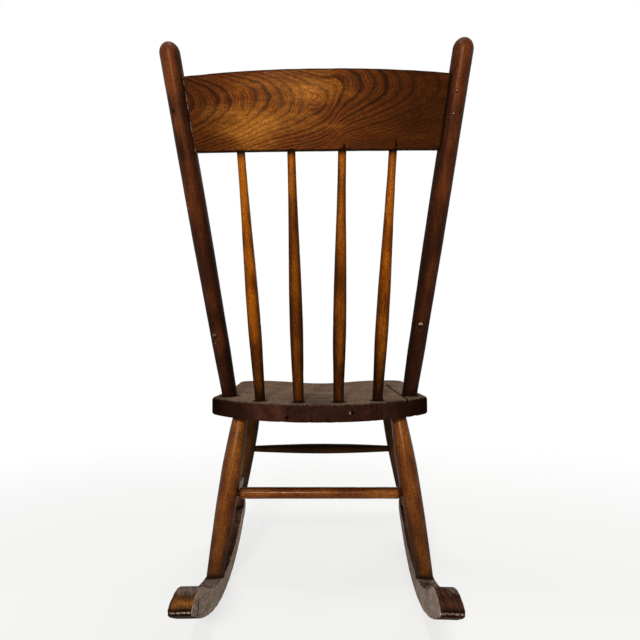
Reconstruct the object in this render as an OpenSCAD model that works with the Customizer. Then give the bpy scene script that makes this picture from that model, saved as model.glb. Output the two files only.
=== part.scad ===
// Armless rocking chair with a plank seat, a curved crest board and four tapered spindles.
// The chair faces -Y. X runs across it, with the sitter's left at +X, and Z is up from the floor.
// It is drawn at rest, so the rockers touch the floor right under the chair's centre of mass.

/* [Seat] */
// Width of the plank across its round rear corners
seat_w = 400; // [350:1:460]
// Depth of the plank from the middle of the front edge to the middle of the rear edge
seat_d = 402; // [360:1:450]
// Thickness of the plank
seat_t = 32; // [29:0.5:40]
// Height of the seat's top above the floor, half way along its depth
seat_h = 343.5; // [325:0.5:420]
// Backward tilt of the seat, in degrees
seat_tilt = 4.1; // [1:0.1:7]
// Radius of the bowed rear edge
seat_rear_r = 266; // [240:1:320]
// Radius of the two round rear corners
seat_lobe_r = 32; // [24:1:45]
// Width of the plank across its front corners
seat_front_w = 394; // [350:1:440]
// Radius of the front corners
seat_corner_r = 28; // [16:1:45]
// Radius of the slightly bowed front edge
seat_front_r = 2000; // [1200:10:4000]
// Radius of the hollow sides between the corners
seat_waist_r = 1500; // [1000:10:4000]
// Radius of the rounded upper edge
seat_edge_r = 7; // [3:0.5:10]
// Radius of the eased lower edge
seat_under_r = 4; // [1:0.5:6]
// Depth of the scooped middle of the seat
dish_depth = 10; // [0:0.5:11]
// Width of the scoop
dish_w = 310; // [240:1:330]
// How far behind the seat's middle the scoop ends
dish_back = 118; // [80:1:125]

/* [Back posts] */
// Distance of each post inside the seat's widest side, where it enters the seat
post_inset = 32; // [24:1:45]
// Distance of the posts behind the seat's middle, where they enter the seat
post_y = 94; // [80:1:110]
// Length of a post above the seat
post_len = 606; // [520:1:680]
// Backward lean of the posts and the crest board, in degrees
back_lean = 19.5; // [12:0.1:23]
// Outward flare of each post, in degrees
post_flare = 6.3; // [3:0.1:8]
// Diameter of a post at the seat
post_d_low = 28.5; // [25:0.5:32]
// Largest diameter of a post
post_d_mid = 34; // [31:0.5:38]
// Diameter of a post below its domed end
post_d_top = 33; // [30:0.5:36]
// Height of the domed end
post_dome = 18; // [10:1:26]
// Length of the post's tenon in the seat
post_tenon = 22; // [16:1:23]

/* [Crest board] */
// Distance of the board's lower edge below the top of the posts
crest_drop = 172; // [155:1:200]
// Width of the board, from its lower edge to its upper corners
crest_w = 115; // [90:1:130]
// Rise of the upper edge in the middle
crest_rise = 8; // [2:0.5:16]
// Thickness of the board
crest_t = 17; // [15:0.5:20]
// How far the board bows to the rear in the middle
crest_bow = 10; // [5:0.5:20]
// Thickness of the tenon at each end
crest_tenon_t = 11; // [8:0.5:13]
// Length of the tenon inside a post
crest_tenon_in = 21; // [19:0.5:24]
// Height of the shoulder above and below the tenon
crest_shoulder = 11; // [8:1:16]
// Diameter of the pins that lock the tenons
crest_pin_d = 5; // [3:0.5:6]
// Distance of the outer pin below the board's upper corner
crest_pin_top = 27; // [22:1:32]
// Distance between the two pins of one tenon
crest_pin_gap = 34; // [20:1:44]
// Distance of the pins from the post's axis towards the board
crest_pin_in = 3; // [2:0.5:6]
// Length of a pin ahead of the post's axis
crest_pin_ahead = 9; // [7:0.5:12]

/* [Spindles] */
// Number of spindles
spindle_count = 4; // [4]
// Distance between spindles at the seat
spindle_gap_low = 68; // [55:1:74]
// Distance between spindles at the crest board
spindle_gap_high = 83.5; // [70:0.5:88]
// Distance of the spindles ahead of the seat's rear edge
spindle_inset = 21; // [19:0.5:26]
// Diameter at the seat
spindle_d_low = 18.5; // [15:0.5:20]
// Largest diameter
spindle_d_mid = 23; // [20:0.5:26]
// Diameter at the crest board
spindle_d_high = 14; // [12:0.5:15]
// Height of the largest diameter, as a share of the length
spindle_bulge = 0.3; // [0.15:0.01:0.5]
// Length of the lower tenon
spindle_tenon_low = 19; // [12:1:22]
// Diameter of the upper tenon
spindle_tenon_d = 9; // [7:0.5:9.5]
// Length of the upper tenon
spindle_tenon_high = 13; // [9:1:16]

/* [Legs] */
// Distance of the rear legs inside the seat's widest side, under the seat
rear_leg_inset = 57; // [50:1:70]
// Distance of the rear legs behind the seat's middle, under the seat
rear_leg_y = 121; // [108:1:126]
// Distance of the front legs inside the seat's front corners, under the seat
front_leg_inset = 48; // [38:1:60]
// Distance of the front legs ahead of the seat's middle, under the seat
front_leg_y = 108; // [90:1:130]
// Diameter of a leg under the seat
leg_d_top = 27; // [24:0.5:30]
// Largest diameter of a leg
leg_d_mid = 36.5; // [33:0.5:40]
// Diameter of a leg at its foot
leg_d_foot = 27.5; // [24:0.5:29]
// Height of the largest diameter, as a share of the length
leg_bulge = 0.62; // [0.5:0.01:0.75]
// Length of the tenon in the seat
leg_tenon_top = 20; // [14:1:22]
// Diameter of the tenon in the rocker
foot_tenon_d = 16; // [12:0.5:18]
// Length of the tenon in the rocker
foot_tenon = 20; // [12:1:23]

/* [Stretchers] */
// Height of the front stretcher above the floor
front_stretcher_h = 203; // [185:1:225]
// Largest diameter of the front stretcher
front_stretcher_d = 22.5; // [18:0.5:26]
// Diameter of its ends
front_stretcher_end = 14; // [12:0.5:16]
// Height of the rear stretcher above the floor
rear_stretcher_h = 170; // [162:1:195]
// Diameter of the rear stretcher
rear_stretcher_d = 20; // [16:0.5:23]
// Diameter of its tenons
rear_tenon_d = 11.5; // [9:0.5:13]
// Length of its tenons inside the rear legs
rear_tenon_in = 20; // [17:0.5:23]
// Bare length of its tenons between the shoulder and the leg
rear_tenon_out = 3; // [1:0.5:6]
// Height of a side stretcher above the floor at the front leg
side_stretcher_front_h = 141; // [130:1:160]
// Height of a side stretcher above the floor at the rear leg
side_stretcher_rear_h = 128; // [115:1:140]
// Largest diameter of a side stretcher
side_stretcher_d = 20; // [16:0.5:24]
// Diameter of its ends
side_stretcher_end = 13; // [11:0.5:15]
// Length of the front and side stretchers' ends inside a leg
stretcher_in = 13; // [9:0.5:15]
// Diameter of the pins that lock the rear stretcher
leg_pin_d = 4.5; // [3:0.5:5]
// Distance of these pins from the leg's axis towards the stretcher
leg_pin_in = 5; // [4:0.5:8]
// Length of these pins ahead of the leg's axis
leg_pin_ahead = 9; // [7:0.5:12]

/* [Rockers] */
// Radius of the arc that rolls on the floor
rocker_r = 666; // [600:1:900]
// Height of a rocker under the legs
rocker_h = 31; // [28:0.5:40]
// Thickness of a rocker
rocker_t = 30; // [26:0.5:36]
// Distance of each rocker's centre line inside the seat's widest side, where it touches the floor
rocker_inset = 17; // [0:1:30]
// Angle by which each rocker turns in towards the rear, in degrees
rocker_toe = 3.3; // [0:0.1:5]
// Distance behind the seat's middle where the rockers touch the floor
balance_y = 70; // [60:0.5:80]
// Distance of the rear feet behind the floor contact
rear_foot = 86; // [76:1:94]
// Distance of the front feet ahead of the floor contact
front_foot = 223; // [210:1:230]
// Length of a rocker behind the floor contact
rocker_rear = 340; // [325:1:344]
// Length of a rocker ahead of the floor contact
rocker_front = 260; // [250:1:290]
// Distance behind the floor contact where the upper edge starts to curl up
scoop_start = 111; // [110:1:130]
// Radius of the curled upper edge behind the legs
scoop_r = 480; // [430:1:560]
// Radius of the round hump at the tail
hump_r = 92; // [70:1:120]
// Distance of the hump's top behind the floor contact
hump_at = 307; // [298:1:315]

/* [Fit] */
// Clearance round each tenon and at its end
fit = 0.3; // [0.2:0.05:0.5]

/* [Hidden] */
LEFT = 1;
RIGHT = -1;
WOOD_DARK = "#5b2c1a";
WOOD_GOLD = "#8a5228";
WOOD_CREST = "#a06a35";
WOOD_SEAT = "#4a4038";
WOOD_ROCKER = "#5a4638";
METAL = "#5d5a55";
turn_steps = 64;
arc_steps = 360;
past = 40;

// The model's origin lies on the floor, half way between the plank's lower front edge and the tails.
seat_front_y = -seat_d / 2 * cos(seat_tilt) - (seat_t - seat_under_r) * sin(seat_tilt);
tail_y = balance_y + rocker_rear * cos(rocker_toe) + rocker_t / 2 * sin(rocker_toe);
middle_y = (seat_front_y + tail_y) / 2;

post_x = seat_w / 2 - post_inset;
rear_leg_x = seat_w / 2 - rear_leg_inset;
front_leg_x = seat_front_w / 2 - front_leg_inset;
rocker_gap = seat_w - 2 * rocker_inset;

module set_down() {
    translate([0, -middle_y, 0]) children();
}

// Turns and moves a child that stands on the origin, so that it runs from point a towards point b.
module along(a, b) {
    v = b - a;
    translate(a) rotate([0, acos(v[2] / norm(v)), atan2(v[1], v[0])]) children();
}

function mix(a, b, t) = a + (b - a) * t;
function ease(a, b, t) = mix(a, b, (1 - cos(180 * t)) / 2);

// Points of a turned outline between two stations, each [height, radius], with level ends.
function turned(a, b, n) = [for (i = [0 : n - 1]) [ease(a[1], b[1], i / n), mix(a[0], b[0], i / n)]];
// Points of a turned outline that swells like a barrel from station a up to station b.
function barrel_up(a, b, n) =
    [for (i = [0 : n - 1]) [mix(a[1], b[1], sin(90 * i / n)), mix(a[0], b[0], i / n)]];
// Points of a turned outline that shrinks like a barrel from station a down to station b.
function barrel_down(a, b, n) =
    [for (i = [0 : n - 1]) [mix(a[1], b[1], 1 - cos(90 * i / n)), mix(a[0], b[0], i / n)]];

// Seat: a point given from the middle of the plank's top, in the plank's own plane.
function seat_pt(x, y, z = 0) = [x, y * cos(seat_tilt) + z * sin(seat_tilt),
                                 seat_h - y * sin(seat_tilt) + z * cos(seat_tilt)];

// The outline is a chain of arcs that touch: front edge, front corner, hollow side, rear corner, rear edge.
rear_c = [0, seat_d / 2 - seat_rear_r];
lobe_x = seat_w / 2 - seat_lobe_r;
lobe_c = [lobe_x, rear_c[1] + sqrt(pow(seat_rear_r - seat_lobe_r, 2) - pow(lobe_x, 2))];
lobe_a = atan2(lobe_c[1] - rear_c[1], lobe_c[0]);
front_c = [0, seat_front_r - seat_d / 2];
corner_x = seat_front_w / 2 - seat_corner_r;
corner_c = [corner_x, front_c[1] - sqrt(pow(seat_front_r - seat_corner_r, 2) - pow(corner_x, 2))];
corner_a = atan2(corner_c[1] - front_c[1], corner_c[0]);
side_span = norm(lobe_c - corner_c);
side_dir = (corner_c - lobe_c) / side_span;
waist_to_lobe = seat_waist_r + seat_lobe_r;
waist_to_corner = seat_waist_r + seat_corner_r;
waist_run = (pow(waist_to_lobe, 2) - pow(waist_to_corner, 2) + pow(side_span, 2)) / (2 * side_span);
waist_out = sqrt(pow(waist_to_lobe, 2) - pow(waist_run, 2));
waist_c = lobe_c + side_dir * waist_run + [-side_dir[1], side_dir[0]] * waist_out;
waist_lobe_a = atan2(waist_c[1] - lobe_c[1], waist_c[0] - lobe_c[0]);
waist_corner_a = atan2(waist_c[1] - corner_c[1], waist_c[0] - corner_c[0]);

function arc(c, r, a, b, n) = [for (i = [0 : n - 1]) c + r * [cos(mix(a, b, i / n)), sin(mix(a, b, i / n))]];
function seat_half(d) = concat(
    arc(front_c, seat_front_r - d, -90, corner_a, 3),
    arc(corner_c, seat_corner_r - d, corner_a, waist_corner_a, 7),
    arc(waist_c, seat_waist_r + d, 180 + waist_corner_a, 180 + waist_lobe_a, 6),
    arc(lobe_c, seat_lobe_r - d, waist_lobe_a, lobe_a, 6),
    arc(rear_c, seat_rear_r - d, lobe_a, 90, 9));
function seat_ring(d) = let (half = seat_half(d), n = len(half), rear = rear_c + [0, seat_rear_r - d])
    concat(half, [rear], [for (i = [n - 1 : -1 : 1]) [-half[i][0], half[i][1]]]);

// Depth of the scoop at a point: it fades out at the sides and the rear, and runs over the front edge.
dish_mid_y = -60;
dish_run_out = 400;
function dish(p) = let (
        along_y = p[1] > dish_mid_y ? dish_back - dish_mid_y : dish_run_out,
        u = norm([p[0] / (dish_w / 2), (p[1] - dish_mid_y) / along_y]))
    u < 1 ? dish_depth * (1 + cos(180 * u)) / 2 : 0;

// Rings of the plank from the underside, up the eased edge and over the rounded one, to the middle.
edge_steps = 3;
ring_scales = [0.9, 0.78, 0.65, 0.52, 0.38, 0.24, 0.1];
function at_height(ring, z) = [for (p = ring) [p[0], p[1], z]];
function on_dish(ring, z) = [for (p = ring) [p[0], p[1], z - dish(p)]];
seat_rings = concat(
    [for (i = [0 : edge_steps]) let (a = 90 * i / edge_steps)
        at_height(seat_ring(seat_under_r * (1 - sin(a))), -seat_t + seat_under_r * (1 - cos(a)))],
    [for (i = [0 : edge_steps]) let (a = 90 * i / edge_steps)
        on_dish(seat_ring(seat_edge_r * (1 - cos(a))), -seat_edge_r * (1 - sin(a)))],
    [for (s = ring_scales) on_dish([for (p = seat_ring(seat_edge_r)) p * s], 0)]);

module plank() {
    n = len(seat_rings[0]);
    m = len(seat_rings);
    points = concat([for (ring = seat_rings) each ring], [[0, 0, -dish([0, 0])]]);
    under = [[for (i = [0 : n - 1]) i]];
    bands = [for (k = [0 : m - 2]) for (i = [0 : n - 1]) let (j = (i + 1) % n)
        each [[k * n + i, (k + 1) * n + i, (k + 1) * n + j], [k * n + i, (k + 1) * n + j, k * n + j]]];
    cap = [for (i = [0 : n - 1]) [(m - 1) * n + i, n * m, (m - 1) * n + (i + 1) % n]];
    polyhedron(points = points, faces = concat(under, bands, cap), convexity = 4);
}

// Back: a point given from where the posts enter the seat, across, to the rear and up the leaning plane.
back_base = seat_pt(0, post_y);
function back_pt(x, w, v) = back_base + [x, w * cos(back_lean) + v * sin(back_lean),
                                         -w * sin(back_lean) + v * cos(back_lean)];
module back_frame() {
    translate(back_base) rotate([-back_lean, 0, 0]) children();
}
function post_x_at(v) = post_x + v * tan(post_flare);
function post_foot(side) = back_pt(side * post_x, 0, 0);
function post_tip(side) = let (v = post_len * cos(post_flare)) back_pt(side * post_x_at(v), 0, v);

// The post's outline from the seat up: a slow swell to the middle, then a slighter neck under the dome.
post_swell_at = 0.18;
post_swell = 0.55;
post_mid_at = 0.55;
dome_steps = 6;
function post_outline(more) = concat(
    turned([0, post_d_low / 2 + more],
           [post_len * post_swell_at, mix(post_d_low, post_d_mid, post_swell) / 2 + more], 4),
    turned([post_len * post_swell_at, mix(post_d_low, post_d_mid, post_swell) / 2 + more],
           [post_len * post_mid_at, post_d_mid / 2 + more], 5),
    turned([post_len * post_mid_at, post_d_mid / 2 + more], [post_len - post_dome, post_d_top / 2 + more], 5),
    [for (i = [0 : dome_steps - 1]) let (a = 90 * i / dome_steps)
        [(post_d_top / 2 + more) * cos(a), post_len - post_dome + (post_dome + more) * sin(a)]]);
module post_body(more = 0) {
    rotate_extrude($fn = turn_steps)
        polygon(concat([[0, -post_tenon], [post_d_low / 2 + more, -post_tenon]], post_outline(more),
                       [[0, post_len + more]]));
}

// Crest board: a strip of a tall drum, trimmed to its outline, between shoulders scribed to the posts.
crest_low = post_len - crest_drop;
crest_mid_v = crest_low + crest_w / 2;
crest_half = post_x_at(crest_mid_v) - post_d_mid / 2;
crest_bow_r = (pow(crest_half, 2) + pow(crest_bow, 2)) / (2 * crest_bow);
crest_top_half = post_x_at(crest_low + crest_w);
crest_arch_r = (pow(crest_top_half, 2) + pow(crest_rise, 2)) / (2 * crest_rise);
function crest_w_at(x) = crest_bow - crest_bow_r + sqrt(pow(crest_bow_r, 2) - pow(x, 2));
module crest_outline() {
    intersection() {
        polygon([[-post_x_at(crest_low), crest_low], [post_x_at(crest_low), crest_low],
                 [post_x_at(crest_low + crest_w + crest_rise), crest_low + crest_w + crest_rise],
                 [-post_x_at(crest_low + crest_w + crest_rise), crest_low + crest_w + crest_rise]]);
        translate([0, crest_low + crest_w + crest_rise - crest_arch_r])
            circle(crest_arch_r, $fn = arc_steps * 4);
    }
}
module crest_strip() {
    translate([0, crest_bow - crest_bow_r, crest_low - past]) linear_extrude(crest_w + crest_rise + 2 * past)
        difference() {
            circle(crest_bow_r + crest_t / 2, $fn = arc_steps * 4);
            circle(crest_bow_r - crest_t / 2, $fn = arc_steps * 4);
        }
}
// The tenon reaches from inside the board to its end in the post, and follows the post's flare.
module crest_tenon(side, more = 0) {
    low = crest_low + crest_shoulder;
    high = crest_low + crest_w - crest_shoulder;
    stop = post_d_mid / 2 - crest_tenon_in;
    rotate([90, 0, 0]) translate([0, 0, -crest_tenon_t / 2 - more]) linear_extrude(crest_tenon_t + 2 * more)
        polygon([[side * (post_x_at(low) - past), low - more],
                 [side * (post_x_at(low) - stop + more), low - more],
                 [side * (post_x_at(high) - stop + more), high + more],
                 [side * (post_x_at(high) - past), high + more]]);
}
function pin_v(i) = crest_low + crest_w - crest_pin_top - i * crest_pin_gap;
pin_behind = sqrt(pow(post_d_top / 2, 2) - pow(crest_pin_in + crest_pin_d / 2, 2));
module crest_pin(side, i, more = 0) {
    v = pin_v(i);
    back_frame() translate([side * (post_x_at(v) - crest_pin_in), -crest_pin_ahead - more, v])
        rotate([-90, 0, 0]) cylinder(h = crest_pin_ahead + pin_behind + more + (more > 0 ? past : 0),
                                     r = crest_pin_d / 2 + more, $fn = 32);
}

// Spindles: number 1 stands at the sitter's left.
function spindle_place(i) = (spindle_count - 1) / 2 - (i - 1);
function rear_edge_y(x) = rear_c[1] + sqrt(pow(seat_rear_r, 2) - pow(x, 2));
function spindle_low(i) = let (x = spindle_place(i) * spindle_gap_low)
    seat_pt(x, rear_edge_y(x) - spindle_inset);
function spindle_high(i) = let (x = spindle_place(i) * spindle_gap_high)
    back_pt(x, crest_w_at(x), crest_low);
function spindle_len(i) = norm(spindle_high(i) - spindle_low(i));
module spindle_socket(i) {
    along(spindle_low(i), spindle_high(i)) translate([0, 0, -spindle_tenon_low - fit])
        cylinder(h = spindle_tenon_low + past, d = spindle_d_low + 2 * fit, $fn = turn_steps);
}
module crest_socket(i) {
    along(spindle_high(i), spindle_low(i)) translate([0, 0, -spindle_tenon_high - fit])
        cylinder(h = spindle_tenon_high + past, d = spindle_tenon_d + 2 * fit, $fn = turn_steps);
}
// A spindle is turned a little too long, and its shoulder is then cut to the board's lower edge.
spindle_over = 6;
module spindle(i) {
    length = spindle_len(i);
    bulge = length * spindle_bulge;
    color(WOOD_GOLD) set_down() {
        difference() {
            along(spindle_low(i), spindle_high(i)) rotate_extrude($fn = turn_steps)
                polygon(concat([[0, -spindle_tenon_low], [spindle_d_low / 2, -spindle_tenon_low]],
                    turned([0, spindle_d_low / 2], [bulge, spindle_d_mid / 2], 6),
                    turned([bulge, spindle_d_mid / 2], [length, spindle_d_high / 2], 9),
                    [[spindle_d_high / 2, length], [spindle_d_high / 2, length + spindle_over],
                     [0, length + spindle_over]]));
            back_frame() translate([-seat_w, -seat_w, crest_low - fit]) cube([2 * seat_w, 2 * seat_w, past]);
        }
        along(spindle_low(i), spindle_high(i)) translate([0, 0, length - past])
            cylinder(h = past + spindle_tenon_high, d = spindle_tenon_d, $fn = turn_steps);
    }
}

// Rockers: a point given along the board from the floor contact to the rear, and up from the floor.
function rocker_pt(side, s, z) =
    [side * (rocker_gap / 2 - s * sin(rocker_toe)), balance_y + s * cos(rocker_toe), z];
inner_r = rocker_r - rocker_h;
function rocker_top(s) = rocker_r - sqrt(pow(inner_r, 2) - pow(s, 2));
scoop_a = asin(scoop_start / inner_r);
scoop_c = [scoop_start - scoop_r * sin(scoop_a), rocker_top(scoop_start) + scoop_r * cos(scoop_a)];
end_r = rocker_h / 2;
end_a = asin((rocker_front - end_r) / (rocker_r - end_r));
// The hump's circle touches the circle of the curled upper edge from outside, so the edge runs on smoothly.
hump_reach = scoop_r + hump_r;
hump_c = [hump_at, scoop_c[1] - sqrt(pow(hump_reach, 2) - pow(hump_at - scoop_c[0], 2))];
hump_meets = scoop_c + (hump_c - scoop_c) * scoop_r / hump_reach;

module rocker_outline() {
    difference() {
        intersection() {
            translate([0, rocker_r]) circle(rocker_r, $fn = arc_steps);
            union() {
                intersection() {
                    translate([0, rocker_r]) rotate(-end_a)
                        translate([0, -2 * rocker_r]) square(2 * rocker_r);
                    translate([-rocker_r, 0]) square([rocker_r + hump_meets[0], rocker_r / 2]);
                }
                intersection() {
                    translate(hump_c) circle(hump_r, $fn = arc_steps);
                    translate([hump_meets[0], 0]) square([rocker_rear - hump_meets[0], rocker_r]);
                }
                translate([0, rocker_r]) rotate(-end_a) translate([0, -rocker_r + end_r])
                    circle(end_r, $fn = turn_steps);
            }
        }
        intersection() {
            translate([0, rocker_r]) circle(inner_r, $fn = arc_steps);
            translate([-rocker_r, 0]) square([rocker_r + scoop_start, 2 * rocker_r]);
        }
        intersection() {
            translate(scoop_c) circle(scoop_r, $fn = arc_steps);
            translate([scoop_start, 0]) square(2 * rocker_r);
        }
    }
}
module rocker_frame(side) {
    translate([side * rocker_gap / 2, balance_y, 0]) rotate([0, 0, side * rocker_toe]) children();
}
module rocker(side) {
    color(WOOD_ROCKER) set_down() difference() {
        rocker_frame(side) translate([-rocker_t / 2, 0, 0])
            rotate([90, 0, 90]) linear_extrude(rocker_t) rocker_outline();
        foot_socket(side, rear_foot);
        foot_socket(side, -front_foot);
    }
}

// Legs: each runs from the plank's underside to the middle of its rocker's upper edge.
function leg_place(s) = s > 0 ? [rear_leg_x, rear_leg_y] : [front_leg_x, -front_leg_y];
function leg_top(side, s) = let (p = leg_place(s)) seat_pt(side * p[0], p[1], -seat_t);
function leg_foot(side, s) = rocker_pt(side, s, rocker_top(s));
function leg_at(side, s, z) = let (a = leg_foot(side, s), b = leg_top(side, s))
    mix(a, b, (z - a[2]) / (b[2] - a[2]));
function leg_r_at(side, s, z) = let (
        a = leg_foot(side, s), b = leg_top(side, s), t = (z - a[2]) / (b[2] - a[2]))
    (t < leg_bulge ? mix(leg_d_foot, leg_d_mid, sin(90 * t / leg_bulge))
                   : mix(leg_d_mid, leg_d_top, 1 - cos(90 * (t - leg_bulge) / (1 - leg_bulge)))) / 2;
module foot_socket(side, s) {
    along(leg_foot(side, s), leg_top(side, s)) translate([0, 0, -foot_tenon - fit])
        cylinder(h = foot_tenon + past, d = foot_tenon_d + 2 * fit, $fn = turn_steps);
}
module leg_socket(side, s) {
    along(leg_top(side, s), leg_foot(side, s)) translate([0, 0, -leg_tenon_top - fit])
        cylinder(h = leg_tenon_top + past, d = leg_d_top + 2 * fit, $fn = turn_steps);
}
module leg(side, s) {
    length = norm(leg_top(side, s) - leg_foot(side, s));
    bulge = length * leg_bulge;
    color(WOOD_GOLD) set_down() difference() {
        union() {
            intersection() {
                along(leg_foot(side, s), leg_top(side, s)) rotate_extrude($fn = turn_steps)
                    polygon(concat([[0, -foot_tenon], [leg_d_foot / 2, -foot_tenon]],
                        barrel_up([0, leg_d_foot / 2], [bulge, leg_d_mid / 2], 8),
                        barrel_down([bulge, leg_d_mid / 2], [length, leg_d_top / 2], 8),
                        [[leg_d_top / 2, length], [leg_d_top / 2, length + leg_tenon_top],
                         [0, length + leg_tenon_top]]));
                rocker_frame(side) translate([-seat_w, 0, rocker_r]) rotate([0, 90, 0])
                    cylinder(h = 2 * seat_w, r = inner_r - fit, $fn = arc_steps);
            }
            along(leg_foot(side, s), leg_top(side, s)) translate([0, 0, -foot_tenon])
                cylinder(h = foot_tenon + past, d = foot_tenon_d, $fn = turn_steps);
        }
        if (s > 0) {
            stretcher_socket(rear_ends(side), rear_tenon_d);
            leg_pin(side, fit);
        } else {
            stretcher_socket(front_ends(side), front_stretcher_end);
        }
        stretcher_socket(side_ends(side, s), side_stretcher_end);
    }
}

// Stretchers: each pair of ends is [end inside this leg, end inside the other leg].
function into_leg(side, s, z, other, depth) = let (
        c = leg_at(side, s, z), r = leg_r_at(side, s, z), d = (other - c) / norm(other - c))
    c + d * (r - depth);
function cross_end(side, s, z, depth) = into_leg(side, s, z, leg_at(-side, s, z), depth);
function front_ends(side) = [for (k = [side, -side])
    cross_end(k, -front_foot, front_stretcher_h, stretcher_in)];
function rear_ends(side) = [for (k = [side, -side])
    cross_end(k, rear_foot, rear_stretcher_h, rear_tenon_in)];
function side_h(s) = s > 0 ? side_stretcher_rear_h : side_stretcher_front_h;
function side_end(side, s, t) = into_leg(side, s, side_h(s), leg_at(side, t, side_h(t)), stretcher_in);
function side_ends(side, s) = let (t = s > 0 ? -front_foot : rear_foot)
    [side_end(side, s, t), side_end(side, t, s)];
module stretcher_socket(ends, d) {
    along(ends[0], ends[1]) translate([0, 0, -fit]) cylinder(h = past, d = d + 2 * fit, $fn = turn_steps);
}
// A stretcher that is straight inside the legs and swells between them.
module swelled_stretcher(ends, end_d, mid_d) {
    length = norm(ends[1] - ends[0]);
    color(WOOD_GOLD) set_down() along(ends[0], ends[1]) rotate_extrude($fn = turn_steps)
        polygon(concat([[0, 0], [end_d / 2, 0]],
            barrel_up([stretcher_in, end_d / 2], [length / 2, mid_d / 2], 8),
            barrel_down([length / 2, mid_d / 2], [length - stretcher_in, end_d / 2], 8),
            [[end_d / 2, length - stretcher_in], [end_d / 2, length], [0, length]]));
}
// The rear stretcher is nearly even, with a shoulder just clear of each leg.
shoulder_drop = 1.5;
shoulder_ease = 4;
module shouldered_stretcher(ends, end_d, mid_d) {
    length = norm(ends[1] - ends[0]);
    from = rear_tenon_in + rear_tenon_out;
    half = [[0, 0], [end_d / 2, 0], [end_d / 2, from],
            [mid_d / 2 - shoulder_drop, from], [mid_d / 2, from + shoulder_ease]];
    color(WOOD_GOLD) set_down() along(ends[0], ends[1]) rotate_extrude($fn = turn_steps)
        polygon(concat(half, [for (i = [len(half) - 1 : -1 : 0]) [half[i][0], length - half[i][1]]]));
}
// A pin from behind each rear leg locks the tenon of the rear stretcher.
module leg_pin(side, more = 0) {
    r = leg_r_at(side, rear_foot, rear_stretcher_h);
    behind = sqrt(pow(r, 2) - pow(leg_pin_in + leg_pin_d / 2, 2));
    translate(leg_at(side, rear_foot, rear_stretcher_h) + [-side * leg_pin_in, -leg_pin_ahead - more, 0])
        rotate([-90, 0, 0]) cylinder(h = leg_pin_ahead + behind + more + (more > 0 ? past : 0),
                                     r = leg_pin_d / 2 + more, $fn = 32);
}

module seat() {
    color(WOOD_SEAT) set_down() difference() {
        translate([0, 0, seat_h]) rotate([-seat_tilt, 0, 0]) plank();
        for (side = [LEFT, RIGHT]) {
            along(post_foot(side), post_tip(side)) translate([0, 0, -post_tenon - fit])
                cylinder(h = post_tenon + past, d = post_d_low + 2 * fit, $fn = turn_steps);
            leg_socket(side, rear_foot);
            leg_socket(side, -front_foot);
        }
        for (i = [1 : spindle_count]) spindle_socket(i);
    }
}
module post(side) {
    color(WOOD_DARK) set_down() difference() {
        along(post_foot(side), post_tip(side)) post_body();
        back_frame() crest_tenon(side, fit);
        crest_pin(side, 0, fit);
        crest_pin(side, 1, fit);
    }
}
module crest_rail() {
    color(WOOD_CREST) set_down() difference() {
        union() {
            difference() {
                back_frame() intersection() {
                    crest_strip();
                    translate([0, seat_w, 0]) rotate([90, 0, 0]) linear_extrude(2 * seat_w) crest_outline();
                }
                for (side = [LEFT, RIGHT]) along(post_foot(side), post_tip(side)) post_body(fit);
            }
            for (side = [LEFT, RIGHT]) back_frame() crest_tenon(side);
        }
        for (i = [1 : spindle_count]) crest_socket(i);
        for (side = [LEFT, RIGHT]) for (i = [0 : 1]) crest_pin(side, i, fit);
    }
}
module crest_pins() {
    color(METAL) set_down() for (side = [LEFT, RIGHT]) for (i = [0 : 1]) crest_pin(side, i);
}
module stretcher_pins() {
    color(METAL) set_down() for (side = [LEFT, RIGHT]) leg_pin(side);
}
module rear_stretcher() {
    difference() {
        shouldered_stretcher(rear_ends(LEFT), rear_tenon_d, rear_stretcher_d);
        for (side = [LEFT, RIGHT]) set_down() leg_pin(side, fit);
    }
}

seat();
post(LEFT);  // left_post
post(RIGHT);  // right_post
crest_rail();
spindle(1);  // spindle_1
spindle(2);  // spindle_2
spindle(3);  // spindle_3
spindle(4);  // spindle_4
leg(LEFT, -front_foot);  // left_front_leg
leg(RIGHT, -front_foot);  // right_front_leg
leg(LEFT, rear_foot);  // left_rear_leg
leg(RIGHT, rear_foot);  // right_rear_leg
swelled_stretcher(front_ends(LEFT), front_stretcher_end, front_stretcher_d);  // front_stretcher
rear_stretcher();
swelled_stretcher(side_ends(LEFT, rear_foot), side_stretcher_end, side_stretcher_d);  // left_side_stretcher
swelled_stretcher(side_ends(RIGHT, rear_foot), side_stretcher_end, side_stretcher_d);  // right_side_stretcher
rocker(LEFT);  // left_rocker
rocker(RIGHT);  // right_rocker
crest_pins();
stretcher_pins();
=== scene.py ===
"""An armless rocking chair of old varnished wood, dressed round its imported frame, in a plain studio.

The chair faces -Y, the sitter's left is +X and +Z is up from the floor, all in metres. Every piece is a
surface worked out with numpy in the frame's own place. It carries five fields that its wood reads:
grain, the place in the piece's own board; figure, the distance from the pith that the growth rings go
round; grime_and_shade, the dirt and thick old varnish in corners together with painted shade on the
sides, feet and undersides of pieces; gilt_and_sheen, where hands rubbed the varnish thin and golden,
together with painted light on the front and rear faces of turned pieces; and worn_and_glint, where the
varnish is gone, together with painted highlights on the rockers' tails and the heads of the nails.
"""
from math import asin, atan2, cos, pi, radians, sin, sqrt, tan

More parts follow.
